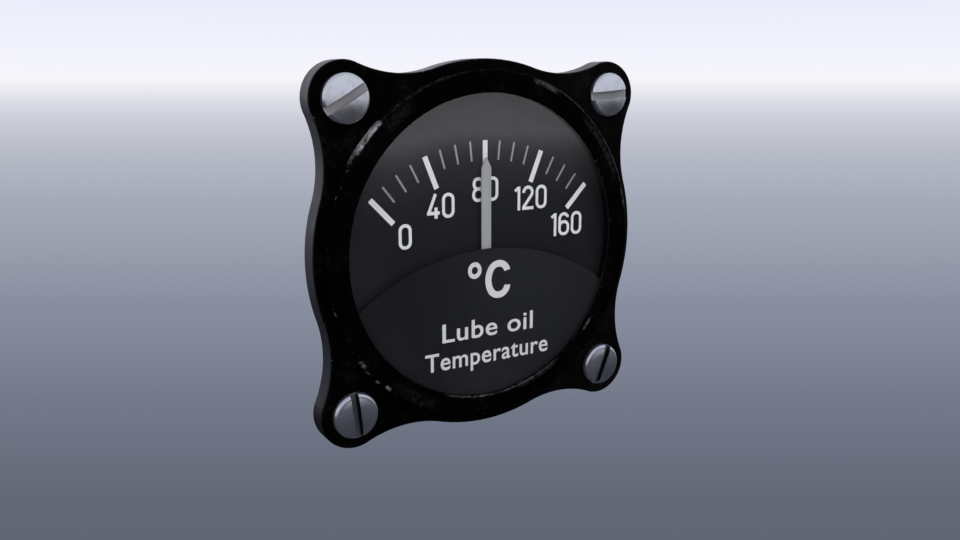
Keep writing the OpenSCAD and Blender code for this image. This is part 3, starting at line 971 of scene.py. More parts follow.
class Pen:
    """Draws a printed stroke of even width as a strip of faces that look at the reader.

    The strip's leading edge is extruded for a straight and spun for a bend.
    """

    first_step: float = 0.02
    least_step: float = 0.01
    spin_step: float = 9.0
    merged_within: float = 0.004

    def __init__(self, x: float, z: float, heading: float, width: float, face: float) -> None:
        """Starts a stroke.

        Args:
            x: where its middle line starts, in millimetres.
            z: the same, upwards.
            heading: direction in degrees, 0 to the right and 90 up.
            width: the stroke's width.
            face: distance of the printed face from the panel plane.
        """
        self.heading, self.face = heading, face
        start = self.first_step
        self.piece = Bench.card(start, width, face, start / 2)
        Bench.pick(self.piece, lambda at: at.x > start / 2 * MM)
        Bench.done()
        self.piece.data.transform(about_case(x, z, heading))
        bpy.ops.object.mode_set(mode="EDIT")
        self.x = x + start * math.cos(math.radians(heading))
        self.z = z + start * math.sin(math.radians(heading))

    def ahead(self, length: float) -> "Pen":
        """Draws a straight.

        Args:
            length: its length, the least one at least.

        Returns:
            The pen.
        """
        length = max(length, self.least_step)
        step_x = length * math.cos(math.radians(self.heading))
        step_z = length * math.sin(math.radians(self.heading))
        bpy.ops.mesh.extrude_region_move(
            TRANSFORM_OT_translate={"value": (step_x * MM, 0, step_z * MM)})
        self.x += step_x
        self.z += step_z
        return self

    def bend(self, degrees: float, radius: float) -> "Pen":
        """Draws an arc.

        Args:
            degrees: how far the heading turns, to the left when positive.
            radius: the arc's radius at the middle of the stroke.

        Returns:
            The pen.
        """
        side = math.copysign(1, degrees)
        across = math.radians(self.heading + 90 * side)
        centre_x = self.x + radius * math.cos(across)
        centre_z = self.z + radius * math.sin(across)
        bpy.ops.mesh.spin(steps=max(3, round(abs(degrees) / self.spin_step)),
                          angle=math.radians(abs(degrees)), axis=(0, side, 0),
                          center=(centre_x * MM, -self.face * MM, centre_z * MM))
        self.heading += degrees
        back = math.radians(self.heading - 90 * side)
        self.x = centre_x + radius * math.cos(back)
        self.z = centre_z + radius * math.sin(back)
        return self

    def lift(self) -> Piece:
        """Ends the stroke and gives its strip."""
        Bench.done()
        return Bench.seal(self.piece, self.merged_within)


@dataclass
class Figures:
    """Plain engraver's figures: even strokes, round ends to their bowls, an open four."""

    height: float = 3.9
    width: float = 2.2
    stroke: float = 0.505
    space: float = 0.42
    one_width: float = 1.13
    face: float = 2.2

    def pen(self, x: float, z: float, heading: float, width: float | None = None) -> Pen:
        """A pen at a place above the baseline, as wide as the figures' strokes if not said."""
        return Pen(x, z, heading, width or self.stroke, self.face)

    def ring(self, left: float, right: float, low: float, high: float, radius: float) -> Piece:
        """A closed stroke with round corners.

        Args:
            left: its left side, at the middle of the stroke.
            right: its right side.
            low: its lower side.
            high: its upper side.
            radius: of the corners.

        Returns:
            The strip.
        """
        across, up = right - left - 2 * radius, high - low - 2 * radius
        stroke = self.pen(right, low + radius, 90)
        for length in (up - Pen.first_step, across, up, across):
            stroke.ahead(length).bend(90, radius)
        return stroke.lift()

    def draw(self, figure: str) -> list[Piece]:
        """Draws one figure, its left side at x = 0 and its foot at z = 0, stroke by stroke.

        Args:
            figure: one of the figures on the scale.

        Returns:
            Its strokes.
        """
        half, wide, high = self.stroke / 2, self.width, self.height
        if figure == "0":
            return [self.ring(half, wide - half, half, high - half, 0.8)]
        if figure == "1":
            stem = self.pen(self.one_width - half, 0, 90).ahead(high - 0.05).lift()
            return [stem, self.pen(0.13, 3.17, 38, 0.47).ahead(0.72).lift()]
        if figure == "2":
            hook = self.pen(half, 2.8, 90).ahead(0.01).bend(-219, 0.84).ahead(2.4).lift()
            return [hook, self.pen(0.0, half, 0).ahead(wide - Pen.first_step).lift()]
        if figure == "4":
            slope = self.pen(1.49, high - 0.05, 247.5, 0.5).ahead(3.2).lift()
            return [slope, self.pen(0.0, 0.885, 0).ahead(wide - 0.03).lift(),
                    self.pen(1.56, 1.76, 270, 0.53).ahead(1.7).lift()]
        if figure == "6":
            stem = self.pen(half, 1.3, 90).ahead(high - half - 2.18).bend(-163, 0.86).lift()
            return [self.ring(half, wide - half + 0.05, half, 2.3, 0.8), stem]
        upper = self.ring(half + 0.08, wide - half - 0.08, 2.06, high - half, 0.7)
        return [self.ring(half, wide - half, half, 2.06, 0.8), upper]

    def row(self, number: str) -> tuple[list[Piece], float]:
        """Draws a number from its figures.

        Args:
            number: its figures.

        Returns:
            The strokes, and the width of the whole.
        """
        strokes: list[Piece] = []
        x = 0.0
        for figure in number:
            for stroke in self.draw(figure):
                stroke.data.transform(about_case(x, 0))
                strokes.append(stroke)
            x += (self.one_width if figure == "1" else self.width) + self.space
        return strokes, x - self.space


def printed(name: str, strokes: Iterable[Piece], thickness: float = 0.02,
            layer: float = 0.002) -> Piece:
    """Joins strokes and gives the ink its thickness, towards the reader.

    Args:
        name: the piece's name.
        strokes: flat strips that look at the reader.
        thickness: of the ink.
        layer: how far strokes that cross stand apart.

    Returns:
        The printed piece.
    """
    layers = list(strokes)
    for number, stroke in enumerate(layers):
        if sum(face.normal.y * face.area for face in stroke.data.polygons) > 0:
            Bench.pick_all(stroke)
            bpy.ops.mesh.flip_normals()
            Bench.done()
        stroke.data.transform(Matrix.Translation((0, -layer * MM * (number % 3), 0)))
    whole = Bench.joined(name, layers)
    Bench.apply(whole, "SOLIDIFY", thickness=thickness * MM, offset=1.0)
    Bench.only(whole)
    bpy.ops.object.shade_flat()
    return whole


@dataclass
class DialFace:
    """The dial plate with its printed scale, the half mask and the lettering on it.

    A number has the place of its middle, and a line of words its width, height and foot.
    """

    pivot: Spot = (0.07, -11.705)
    plate_face: float = 2.2
    mask_face: float = 3.4
    step: float = 5.5
    tens: int = 16
    tens_per_major: int = 4
    outer: float = 28.5
    major_inner: float = 23.14
    minor_inner: float = 25.42
    major_width: float = 0.85
    minor_width: float = 0.32
    corner: float = 0.06
    degree_at: Spot = (-2.56, -3.52)
    degree_radius: float = 0.91
    degree_width: float = 0.68
    degree_rise: float = 1.08
    letter_at: Spot = (1.92, -5.42)
    letter_start: Spot = (1.565, 1.358)
    letter_ends: float = 1.6
    letter_back: float = 3.648
    letter_width: float = 1.1
    letter_shape: Spot = (1.04, 0.985)
    words_x: float = 0.1
    words_weight: float = 0.011
    words_spacing: float = 1.06
    numbers: tuple[tuple[str, float, float], ...] = (
        ("0", -14.085, 2.81), ("40", -7.9, 7.06), ("80", 0.13, 9.12),
        ("120", 8.81, 7.195), ("160", 16.14, 2.26))
    lines: tuple[tuple[str, float, float, float], ...] = (
        ("Lube oil", 17.2, 3.0, -14.54), ("Temperature", 23.4, 2.9, -19.0))

    def tick(self, inner: float, width: float) -> Piece:
        """Models one upright mark above the pivot.

        Args:
            inner: distance of its lower end from the pivot.
            width: its width.

        Returns:
            The mark, not placed on the scale yet.
        """
        middle = (self.outer + inner) / 2
        mark = Bench.card(width, self.outer - inner, self.plate_face, z=middle)
        Bench.pick_all(mark)
        bpy.ops.mesh.bevel(offset=self.corner * MM, segments=2, affect="VERTICES")
        Bench.done()
        return mark

    def marks(self, name: str, tens: Iterable[int], inner: float, width: float) -> Piece:
        """Copies a mark round the scale.

        Args:
            name: the piece's name.
            tens: the marks' numbers, counted from the left end of the scale.
            inner: distance of their lower ends from the pivot.
            width: their width.

        Returns:
            The printed marks.
        """
        first = self.tick(inner, width)
        turns = [(self.tens / 2 - ten) * self.step for ten in tens]
        copies = [Bench.copied(first, about_case(*self.pivot, turn)) for turn in turns]
        bpy.data.objects.remove(first)
        return printed(name, copies)

    def numerals(self) -> Piece:
        """Draws the five numbers of the scale.

        Returns:
            The printed numbers.
        """
        figures = Figures(face=self.plate_face)
        strokes: list[Piece] = []
        for number, x, z in self.numbers:
            drawn, width = figures.row(number)
            for stroke in drawn:
                stroke.data.transform(about_case(x - width / 2, z - figures.height / 2))
            strokes += drawn
        return printed("scale_numbers", strokes)

    def unit_sign(self) -> Piece:
        """Draws the degree ring and the letter of the unit.

        Returns:
            The printed sign.
        """
        ring = Pen(self.degree_radius, 0, 90, self.degree_width, self.mask_face)
        degree = ring.bend(360, self.degree_radius).lift()
        degree.data.transform(about_case(*self.degree_at)
                              @ Matrix.Diagonal((1, 1, self.degree_rise, 1)))
        arc = Pen(*self.letter_start, 102, self.letter_width, self.mask_face)
        arc.bend(138, self.letter_ends).bend(60, self.letter_back).bend(146, self.letter_ends)
        letter = arc.lift()
        wide, high = self.letter_shape
        letter.data.transform(about_case(*self.letter_at) @ Matrix.Diagonal((wide, 1, high, 1)))
        return printed("unit_sign", [degree, letter])

    def caption(self, number: int) -> Piece:
        """Sets one line of lettering.

        Args:
            number: which line.

        Returns:
            The printed line.
        """
        words, width, height, foot = self.lines[number]
        Bench.clear()
        bpy.ops.object.text_add()
        text = bpy.context.object
        text.data.body = words
        text.data.offset = self.words_weight
        text.data.resolution_u = 6
        text.data.space_character = self.words_spacing
        bpy.ops.object.convert(target="MESH")
        line = bpy.context.object
        line.rotation_euler = (math.radians(90), 0, 0)
        Bench.settle(line)
        low, high = (Vector(end(vertex.co[i] for vertex in line.data.vertices) for i in range(3))
                     for end in (min, max))
        across, up = width * MM / (high.x - low.x), height * MM / high.z
        line.data.transform(Matrix.Diagonal((across, 1, up, 1))
                            @ Matrix.Translation((-(low.x + high.x) / 2, 0, 0)))
        line.data.transform(Matrix.Translation((0, -self.mask_face * MM, 0))
                            @ about_case(self.words_x, foot))
        return printed(f"caption_{number + 1}", [line])

    def build(self, paints: "Paints") -> None:
        """Builds and dresses the dial.

        Args:
            paints: the finishes.
        """
        tens = range(self.tens + 1)
        majors = self.marks("scale_majors", tens[::self.tens_per_major],
                            self.major_inner, self.major_width)
        minors = self.marks("scale_minors", [ten for ten in tens if ten % self.tens_per_major],
                            self.minor_inner, self.minor_width)
        Bench.dress(majors, paints.white_ink, "pointer_paint")
        Bench.dress(minors, paints.grey_ink, "pointer_paint")
        Bench.dress(self.numerals(), paints.white_ink, "pointer_paint")
        for piece in (self.unit_sign(), self.caption(0), self.caption(1)):
            Bench.dress(piece, paints.mask_ink, "pointer_paint")


# Where the bezel is rubbed, and its painted highlights: the thin arcs along the outer edge at 40
# and 116 degrees and the arcs along the inner lip from 261 to 322 degrees are painted highlights.
# Angle and spread in degrees, radius and width in millimetres, amount
BEZEL_RUBS_AND_HIGHLIGHTS = tuple(RubOrHighlight(*row) for row in (
    (138.8, 7.0, 27.5, 0.42, 0.8), (146.5, 3.5, 27.7, 0.25, 0.25), (127.0, 7.0, 26.2, 1.2, 0.013),
    (116.0, 20.0, 27.45, 0.2, 0.02), (68.0, 6.0, 27.0, 0.5, 0.12), (40.0, 36.0, 27.4, 0.2, 0.07),
    (35.0, 16.0, 26.6, 0.8, 0.022), (13.0, 4.5, 27.2, 0.35, 0.1), (214.3, 1.7, 27.3, 0.35, 0.28),
    (217.8, 0.9, 27.5, 0.25, 0.2), (222.6, 1.0, 27.4, 0.25, 0.24), (227.0, 1.4, 27.1, 0.35, 0.28),
    (238.0, 12.0, 26.2, 1.3, 0.01), (261.0, 13.0, 24.35, 0.22, 0.14),
    (288.0, 17.0, 24.35, 0.2, 0.13), (292.0, 12.0, 24.75, 0.14, 0.06),
    (322.0, 3.5, 24.7, 0.3, 0.16)))


class Paints:
    """Every finish of the gauge, made once."""

    def __init__(self) -> None:
        """Makes the finishes."""
        self.coats()
        self.inks_and_glass()
        self.metals()
        self.plastics()

    def coats(self) -> None:
        """Makes the enamels and the flat paints."""
        self.flange = WornBlack("flange_enamel", scuffed=0.15, hazed=0.06).make()
        self.bezel = WornBlack("bezel_enamel", side=(0.0006, 0.0006, 0.0008), side_shine=0.008,
                               scuffed=0.12, chipped=0.2, rubs_and_highlights=BEZEL_RUBS_AND_HIGHLIGHTS).make()
        self.case = WornBlack("case_enamel", front=(0.012, 0.012, 0.0125),
                              side=(0.012, 0.012, 0.0125), scuffed=0.2, roughness=0.42,
                              shine=0.4).make()
        # The dial's and the mask's lighter areas are painted light; the dial's raised dust share
        # also lightens its rim as painted light.
        self.dial = FlatPaint("dial_paint", (0.0097, 0.0098, 0.0116), dust_and_light_share=0.13,
                              painted_light=(PaintedLight(0.0, 40.0, 26.0, 48.0, 1.65),
                                     PaintedLight(-28.0, -2.0, 3.0, 17.0, 1.5))).make()
        self.mask = FlatPaint("mask_paint", (0.0091, 0.0092, 0.0109),
                              painted_light=(PaintedLight(8.0, -3.0, 4.0, 24.0, 1.75),
                                     PaintedLight(2.0, -25.0, 3.0, 15.0, 1.5))).make()
        self.spacer = FlatPaint("spacer_paint", (0.0006, 0.0006, 0.0007), dust_and_light_share=0.01).make()
        self.pointer = FlatPaint("pointer_paint", (0.322, 0.319, 0.336), dust_and_light=(0.3, 0.3, 0.3),
                                 dust_and_light_share=0.1, rim_mm=60, roughness=0.5, shine=0.2,
                                 mottle=0.06).make()

    def inks_and_glass(self) -> None:
        """Makes the printing inks, the cover glass and the jewels."""
        self.white_ink = PrintedInk("white_ink", (0.725, 0.705, 0.73), (0.63, 0.61, 0.62)).make()
        self.mask_ink = PrintedInk("mask_ink", (0.63, 0.61, 0.635), (0.55, 0.53, 0.54)).make()
        self.grey_ink = PrintedInk("grey_ink", (0.29, 0.29, 0.3), (0.2, 0.2, 0.21)).make()
        self.glass = ClearGlass("cover_glass_clear", (0.97, 0.98, 0.98), (0.93, 0.94, 0.945)).make()
        self.ruby = ClearGlass("jewel_ruby", (0.75, 0.05, 0.16), (0.6, 0.03, 0.12),
                               1.76, 0.5).make()

    def metals(self) -> None:
        """Makes the bare metals and the wound wires."""
        self.screws = SlottedSteel("front_screw_steel", 47.0, 3.3).make()
        self.plated = BareMetal("plated_steel", (0.62, 0.63, 0.65), (0.47, 0.47, 0.47)).make()
        self.staff = BareMetal("staff_steel", (0.56, 0.58, 0.61), (0.45, 0.46, 0.48),
                               Grain.POLISHED, 0.16).make()
        self.brass = BareMetal("turned_brass", (0.72, 0.53, 0.25), (0.5, 0.34, 0.15)).make()
        self.brass_sheet = BareMetal("rolled_brass", (0.68, 0.51, 0.25), (0.45, 0.31, 0.14),
                                     Grain.ROLLED, 0.33).make()
        self.strip = BareMetal("strip_bronze", (0.72, 0.5, 0.22), (0.5, 0.3, 0.12),
                               Grain.ROLLED, 0.28).make()
        self.alloy = BareMetal("light_alloy", (0.7, 0.7, 0.72), (0.55, 0.55, 0.56),
                               Grain.ROLLED, 0.34).make()
        self.iron = BareMetal("soft_iron", (0.27, 0.275, 0.29), (0.17, 0.16, 0.15),
                              Grain.TURNED, 0.4).make()
        self.magnet = BareMetal("cast_magnet", (0.19, 0.19, 0.2), (0.1, 0.095, 0.09),
                                Grain.CAST, 0.55).make()
        self.connector = BareMetal("connector_alloy", (0.52, 0.53, 0.54), (0.36, 0.35, 0.33),
                                   Grain.TURNED, 0.32).make()
        self.gold = BareMetal("pin_gold", (0.86, 0.64, 0.28), (0.7, 0.48, 0.2),
                              Grain.POLISHED, 0.2).make()
        self.copper = WoundWire("coil_copper", (0.62, 0.27, 0.11), (0.2, 0.07, 0.03), 6.0).make()
        self.resistance = WoundWire("resistance_wire", (0.4, 0.24, 0.1), (0.12, 0.06, 0.02),
                                    5.0).make()

    def plastics(self) -> None:
        """Makes the rubber, the mouldings and the board."""
        self.rubber = Moulded("black_rubber", (0.006, 0.006, 0.0065), (0.014, 0.014, 0.014),
                              0.75).make()
        self.wire = Moulded("red_insulation", (0.32, 0.018, 0.016), (0.24, 0.02, 0.018),
                            0.42).make()
        self.bobbin = Moulded("bobbin_plastic", (0.03, 0.018, 0.013), (0.05, 0.03, 0.022)).make()
        self.insert = Moulded("insert_plastic", (0.11, 0.036, 0.02), (0.17, 0.06, 0.03), 0.4).make()
        self.board = LaidBoard("board_laminate").make()


@dataclass(frozen=True)
class Thread:
    """A screw thread modelled on a plain shank: a helical ridge on a reduced core.

    The ridge's base and crest reach a share of the pitch to each side of its middle, and its
    base is tucked into the core.
    """

    crest: float
    root: float
    pitch: float
    low_y: float
    high_y: float
    steps: int
    tuck: float = 0.08
    base_share: float = 0.46
    crest_share: float = 0.07

    def ridge(self) -> Piece:
        """Winds the ridge about the Y axis.

        Returns:
            The ridge, its ends tucked into the core.
        """
        turns = (self.high_y - self.low_y) / self.pitch - 1
        base, wide, narrow = self.root - self.tuck, self.base_share, self.crest_share
        corners = ((base, -wide), (base, wide), (self.crest, narrow), (self.crest, -narrow))
        middle = self.low_y + self.pitch / 2
        ridge = Bench.outline([(radius, middle + share * self.pitch) for radius, share in corners])
        steps = round(self.steps * turns)
        Bench.apply(ridge, "SCREW", axis="Y", angle=math.tau * turns,
                    screw_offset=turns * self.pitch * MM, steps=steps, render_steps=steps,
                    use_smooth_shade=False)
        Bench.pick_all(ridge)
        bpy.ops.mesh.fill_holes(sides=6)
        Bench.done()
        return Bench.seal(ridge)


@dataclass
class MountingScrews:
    """The four mounting screws: turned heads with a milled slot, and threaded shanks.

    A slot has the side of its screw to the right and upwards, and its angle.
    """

    half_pitch: float = 23.5
    seat: float = 3.3
    side: float = 0.42
    rim: Spot = (0.6, 0.5)
    rise: float = 0.28
    head: float = 3.6
    neck: float = 1.78
    tip: float = 6.7
    taper: Spot = (0.2, 0.5)
    dome_steps: int = 12
    rim_step: int = 10
    turned_steps: int = 96
    slot_width: float = 1.3
    slot_floor: float = 3.65
    cutter: Spot = (8.0, 3.0)
    slots: tuple[tuple[int, int, float], ...] = ((-1, 1, 30), (1, 1, 4), (-1, -1, 96), (1, -1, 68))
    thread: Thread = Thread(crest=2.0, root=1.66, pitch=0.7, low_y=0.0, high_y=6.1, steps=32)

    def build(self, paints: Paints) -> None:
        """Builds and dresses the screws.

        Args:
            paints: the finishes.
        """
        first = Bench.joined("screw", [self.slotted(self.turned()), self.thread.ridge()])
        places = [about_case(x * self.half_pitch, z * self.half_pitch, angle)
                  for x, z, angle in self.slots]
        screws = Bench.joined("threaded_screws", [Bench.copied(first, place) for place in places])
        bpy.data.objects.remove(first)
        Bench.dress(Bench.smoothed(screws), paints.screws, "screw_steel")
        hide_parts("mounting_screws")

    def profile(self) -> list[Spot]:
        """Draws half of the screw's section, from the head's middle to the tip.

        Returns:
            Its corners: distance from the axis, and height above the panel.
        """
        wide, high = self.rim
        flat = self.head - wide
        dome = (flat ** 2 + self.rise ** 2) / (2 * self.rise)
        shoulder = self.seat + self.side
        middle = shoulder + high + self.rise - dome
        face = [(radius, middle + math.sqrt(dome ** 2 - radius ** 2))
                for radius in (flat * i / self.dome_steps for i in range(self.dome_steps + 1))]
        round_rim = [(flat + wide * math.cos(turn), shoulder + high * math.sin(turn))
                     for turn in map(math.radians, range(90 - self.rim_step, -1, -self.rim_step))]
        core = self.thread.root
        point = core - self.taper[0]
        return [*face, *round_rim, (self.head, self.seat), (self.neck, self.seat), (self.neck, 0.0),
                (core, 0.0), (core, self.taper[1] - self.tip), (point, -self.tip), (0.0, -self.tip)]

    def turned(self) -> Piece:
        """Turns the screw's plain body about its axis.

        Returns:
            The body.
        """
        body = Bench.outline([(radius, -height) for radius, height in self.profile()])
        Bench.apply(body, "SCREW", axis="Y", angle=math.tau, steps=self.turned_steps,
                    render_steps=self.turned_steps, use_smooth_shade=False)
        return Bench.seal(body)

    def slotted(self, body: Piece) -> Piece:
        """Mills the driver's slot.

        Args:
            body: the turned body.

        Returns:
            The body with its slot.
        """
        Bench.clear()
        bpy.ops.mesh.primitive_cube_add(size=MM)
        cutter = bpy.context.object
        length, depth = self.cutter
        bpy.ops.transform.resize(value=(length, depth, self.slot_width))
        bpy.ops.transform.translate(value=(0, -(self.slot_floor + depth / 2) * MM, 0))
        Bench.settle(cutter)
        Bench.apply(body, "BOOLEAN", operation="DIFFERENCE", object=cutter, solver="EXACT")
        bpy.data.objects.remove(cutter)
        return body


@dataclass
class Connector:
    """The panel connector's shell, with its coupling thread.

    Its wall is the coupling stretch from coupling_y on, as deep as the chamfer.
    """

    thread: Thread = Thread(crest=8.0, root=7.5, pitch=1.0, low_y=26.35, high_y=32.8, steps=72)
    coupling_y: float = 26.2
    chamfer: float = 0.45
    slack: float = 0.02

    def build(self, paints: Paints) -> None:
        """Builds and dresses the connector.

        Args:
            paints: the finishes.
        """
        shell = Bench.twin("threaded_shell", "connector_shell")
        thinner = self.thread.root / self.thread.crest
        Bench.pick(shell, self.on_wall)
        bpy.ops.transform.resize(value=(thinner, 1, thinner), center_override=(0, 0, 0))
        Bench.done()
        whole = Bench.joined("threaded_shell", [shell, self.thread.ridge()])
        Bench.apply(Bench.smoothed(whole), "WEIGHTED_NORMAL", keep_sharp=True)
        Bench.dress(whole, paints.connector, "connector_alloy")
        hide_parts("connector_shell")

    def on_wall(self, at: Vector) -> bool:
        """Says whether a vertex lies on the shell's coupling stretch or its chamfer."""
        crest, away = self.thread.crest, math.hypot(at.x, at.z) / MM
        return at.y / MM > self.coupling_y and crest - self.chamfer < away < crest + self.slack


@dataclass
class Dressing:
    """Which finish each CAD node takes."""

    paints: Paints

    def table(self) -> dict[str, Material]:
        """Lists the finish of each CAD node.

        Returns:
            The finishes, by the node's name.
        """
        paint = self.paints
        groups = {
            paint.flange: "front_flange", paint.bezel: "bezel_ring", paint.glass: "cover_glass",
            paint.dial: "dial_plate", paint.mask: "dial_mask", paint.spacer: "spacer_ring",
            paint.pointer: "pointer", paint.screws: "mounting_screws",
            paint.case: "case_drum rear_cover", paint.rubber: "glass_gasket cover_seal",
            paint.plated: "dial_screws movement_screws bridge_screws jewel_screw stop_pins "
                          "board_screws solder_tags cover_screws insert_ring",
            paint.brass: "dial_feet jewel_bush front_spacers rear_spacers core_bar jewel_lock_nut "
                         "pointer_hub balance_weights ligament_posts board_posts",
            paint.brass_sheet: "movement_plate rear_bridge", paint.iron: "flux_ring",
            paint.magnet: "core_magnet", paint.ruby: "ring_jewel cup_jewel",
            paint.staff: "front_staff rear_staff", paint.copper: "coil_inner coil_outer",
            paint.alloy: "balance_cross", paint.strip: "ligaments", paint.board: "terminal_board",
            paint.bobbin: "bobbin_formers", paint.resistance: "bobbin_windings",
            paint.wire: "lead_wires", paint.connector: "connector_shell connector_nut",
            paint.insert: "connector_insert", paint.gold: "contact_pins",
        }
        return {node: finish for finish, nodes in groups.items() for node in nodes.split()}

    def build(self) -> None:
        """Assigns the finishes to the CAD nodes."""
        finishes = self.table()
        for name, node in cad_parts.items():
            for slot in node.material_slots:
                slot.material = finishes[name]
            log.info("%s: %s", name, finishes[name].name)


# The floor's colours by how steeply the camera looks down on it, 0 being level
FLOOR_GREYS: Stops = (
    (0.0, (0.913, 0.913, 0.965)), (0.004, (0.913, 0.905, 0.95)), (0.0137, (0.84, 0.831, 0.876)),
    (0.0205, (0.79, 0.79, 0.85)), (0.0318, (0.686, 0.701, 0.768)), (0.05, (0.595, 0.605, 0.69)),
    (0.084, (0.473, 0.497, 0.571)), (0.141, (0.371, 0.402, 0.479)), (0.259, (0.25, 0.275, 0.347)),
    (0.385, (0.171, 0.191, 0.25)), (0.513, (0.122, 0.138, 0.181)), (0.8, (0.1, 0.113, 0.15)),
    (1.0, (0.008, 0.009, 0.012)))

# The sky's colours by height, 0 at the horizon and 1 overhead
SKY_COLOURS: Stops = (
    (0.0, (0.913, 0.913, 0.965)), (0.021, (0.896, 0.896, 0.982)), (0.066, (0.831, 0.847, 0.956)),
    (0.083, (0.815, 0.838, 0.965)), (0.24, (0.8, 0.83, 0.95)), (0.29, (1.0, 1.0, 1.0)),
    (0.36, (1.0, 1.0, 1.0)), (0.45, (0.64, 0.68, 0.78)))


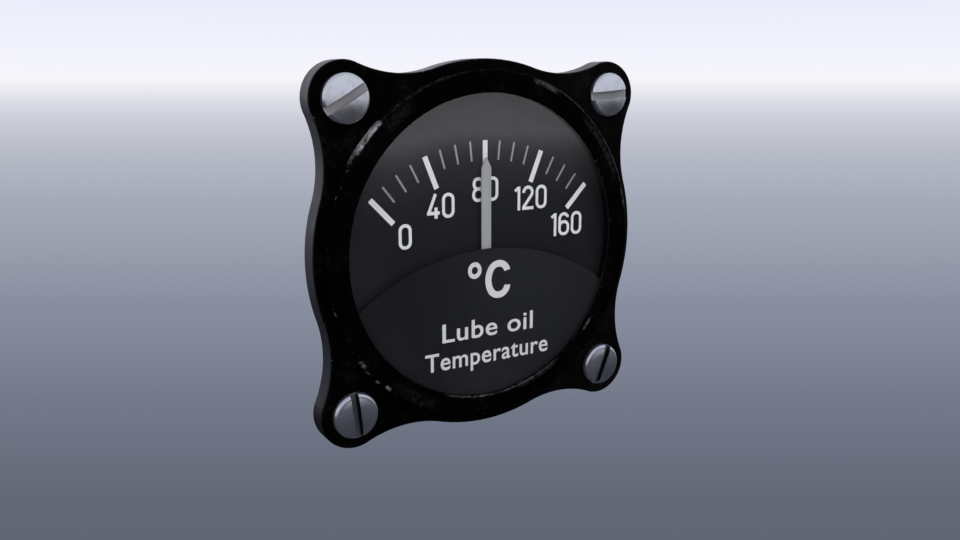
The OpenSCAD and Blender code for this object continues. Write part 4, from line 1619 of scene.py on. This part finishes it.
@dataclass
class Studio:
    """Floor, sky, lamps and camera. Only the names that end in _m are metres."""

    floor_z: float = -250.0
    camera_at: Place = (-72.634, -120.210, 26.699)
    looks_at: Place = (0.643, 0.0, -4.464)
    lens: float = 33.04
    sensor: float = 36.0
    clip_m: Spot = (0.005, 400.0)
    floor_radius_m: float = 60.0
    glow_from_m: Spot = (0.16, 0.3)
    dark_to_m: Spot = (0.6, 0.95)
    plain_to_m: Spot = (0.1, 0.5)
    plain_grey: Colour = (0.42, 0.435, 0.47)
    mirrored_grey: Colour = (0.02, 0.022, 0.034)
    plain_sky: Colour = (0.8, 0.8, 0.81)
    lamps: tuple[tuple[str, Place, float, float], ...] = (
        ("key_lamp", (420, -520, 620), 800, 4.7), ("fill_lamp", (-700, -300, 420), 380, 2.2),
        ("back_lamp", (100, 700, 500), 380, 2.5))

    def aimed(self, name: str, data: bpy.types.ID, place: Place, target: Place) -> Piece:
        """Adds a camera or a lamp that looks at a point.

        Args:
            name: its name.
            data: the camera or lamp.
            place: where it is.
            target: the point.

        Returns:
            Its object.
        """
        made = Bench.shown(name, data)
        eye, point = Vector(place) * MM, Vector(target) * MM
        made.location = eye
        made.rotation_euler = (point - eye).to_track_quat("-Z", "Y").to_euler()
        return made

    def camera(self) -> None:
        """Places the camera at the photograph's viewpoint."""
        data = bpy.data.cameras.new("view")
        data.lens = self.lens
        data.sensor_width = self.sensor
        data.clip_start, data.clip_end = self.clip_m
        bpy.context.scene.camera = self.aimed("view", data, self.camera_at, self.looks_at)

    def ahead(self, desk: Desk, x: Socket, y: Socket) -> Socket:
        """Measures how far a place on the floor lies ahead of the camera.

        Args:
            desk: the floor's desk.
            x: the place's X.
            y: the place's Y.

        Returns:
            The distance in metres.
        """
        look = Vector(self.looks_at) - Vector(self.camera_at)
        look.z = 0
        look.normalize()
        return desk.plus(*(desk.times(desk.minus(at, eye * MM), part)
                           for at, eye, part in zip((x, y), self.camera_at, look)))

    def floor_colour(self, desk: Desk, ahead: Socket, away: Socket, mirrored: Socket) -> Socket:
        """Colours the floor: paler towards the horizon, plain behind the camera.

        Args:
            desk: the floor's desk.
            ahead: distance ahead of the camera.
            away: distance from the gauge's axis.
            mirrored: whether the floor is seen in metal or through glass.

        Returns:
            The colour.
        """
        height = (self.camera_at[2] - self.floor_z) * MM
        least, steepest = 0.1 * MM, 9.0
        slope = desk.maths("DIVIDE", height, desk.most(ahead, least))
        slope = desk.plus(desk.times(desk.maths("LESS_THAN", ahead, MM), steepest), slope)
        grey = desk.ramp(slope, FLOOR_GREYS)
        plain = desk.times(desk.until(ahead, *self.plain_to_m), desk.minus(1.0, mirrored))
        grey = desk.tint(plain, grey, self.plain_grey)
        close = desk.until(away, *self.dark_to_m)
        return desk.tint(desk.times(mirrored, close), grey, self.mirrored_grey)

    def opening(self, desk: Desk, x: Socket, y: Socket, ahead: Socket, away: Socket) -> Socket:
        """Finds where the floor gives way to the sky behind the camera, a little and then mostly.

        Args:
            desk: the floor's desk.
            x: the place's X.
            y: the place's Y.
            ahead: distance ahead of the camera.
            away: distance from the gauge's axis.

        Returns:
            How much of the sky shows.
        """
        aside = desk.maths("DIVIDE", x, desk.times(y, -1.0))
        side = desk.times(away, desk.between(aside, 0.46, 0.58, 1.28, 1.02))
        open_end = desk.plus(desk.between(side, 1.8, 2.9, 0.0, 0.14),
                             desk.between(side, 2.6, 4.6, 0.0, 0.74))
        return desk.times(open_end, desk.between(desk.times(ahead, -1.0), -1.0, 0.6))

    def floor_paint(self) -> Material:
        """Paints the floor: it glows in its own colour beyond the gauge's shadow.

        Returns:
            The material.
        """
        desk = Desk("floor_grey")
        x, y, _ = desk.axes()
        ahead = self.ahead(desk, x, y)
        away = desk.maths("DIVIDE", desk.reach(x, y), 1 / MM)
        mirrored = desk.most(desk.ray("Glossy"), desk.ray("Transmission"))
        grey = self.floor_colour(desk, ahead, away, mirrored)
        desk.set(Base_Color=grey, Roughness=1.0, Specular_IOR_Level=0.0)
        glow = desk.node("ShaderNodeEmission", grey)
        glowing = desk.times(desk.most(desk.ray("Camera"), mirrored),
                             desk.between(away, *self.glow_from_m))
        floor = desk.mixed(glowing, desk.shader.outputs[0], glow.outputs[0])
        clear = desk.node("ShaderNodeBsdfTransparent")
        desk.surface(desk.mixed(self.opening(desk, x, y, ahead, away), floor, clear.outputs[0]))
        return desk.owner

    def floor(self) -> None:
        """Lays the floor."""
        Bench.clear()
        bpy.ops.mesh.primitive_circle_add(vertices=96, radius=self.floor_radius_m,
                                          fill_type="NGON", location=(0, 0, self.floor_z * MM))
        floor = Bench.settle(bpy.context.object)
        floor.name = "floor"
        floor.data.materials.append(self.floor_paint())

    def sky(self) -> None:
        """Fills the world with a pale sky, a little bluer upwards."""
        desk = Desk("pale_sky", sky=True)
        _, _, up = desk.axes()
        seen = desk.ramp(up, SKY_COLOURS)
        desk.set(Color=desk.tint(desk.ray("Diffuse"), seen, self.plain_sky), Strength=1.0)
        bpy.context.scene.world = desk.owner

    def lamp(self, name: str, place: Place, size: float, watts: float) -> None:
        """Hangs a soft lamp that looks at the gauge.

        Args:
            name: the lamp's name.
            place: where it hangs, in millimetres.
            size: its width.
            watts: its power.
        """
        data = bpy.data.lights.new(name, "AREA")
        data.shape = "DISK"
        data.size = size * MM
        data.energy = watts
        self.aimed(name, data, place, (0, 0, 0)).visible_glossy = False

    def build(self) -> None:
        """Builds the studio."""
        self.camera()
        self.floor()
        self.sky()
        for lamp in self.lamps:
            self.lamp(*lamp)


def main() -> None:
    """Builds the gauge and its studio, and reports each piece."""
    logging.basicConfig(level=logging.INFO, format="%(name)s: %(message)s")
    bpy.context.scene.view_settings.view_transform = "Standard"
    paints = Paints()
    Dressing(paints).build()
    DialFace().build(paints)
    MountingScrews().build(paints)
    Connector().build(paints)
    Studio().build()
    Bench.clear()


if __name__ == "__main__":
    main()
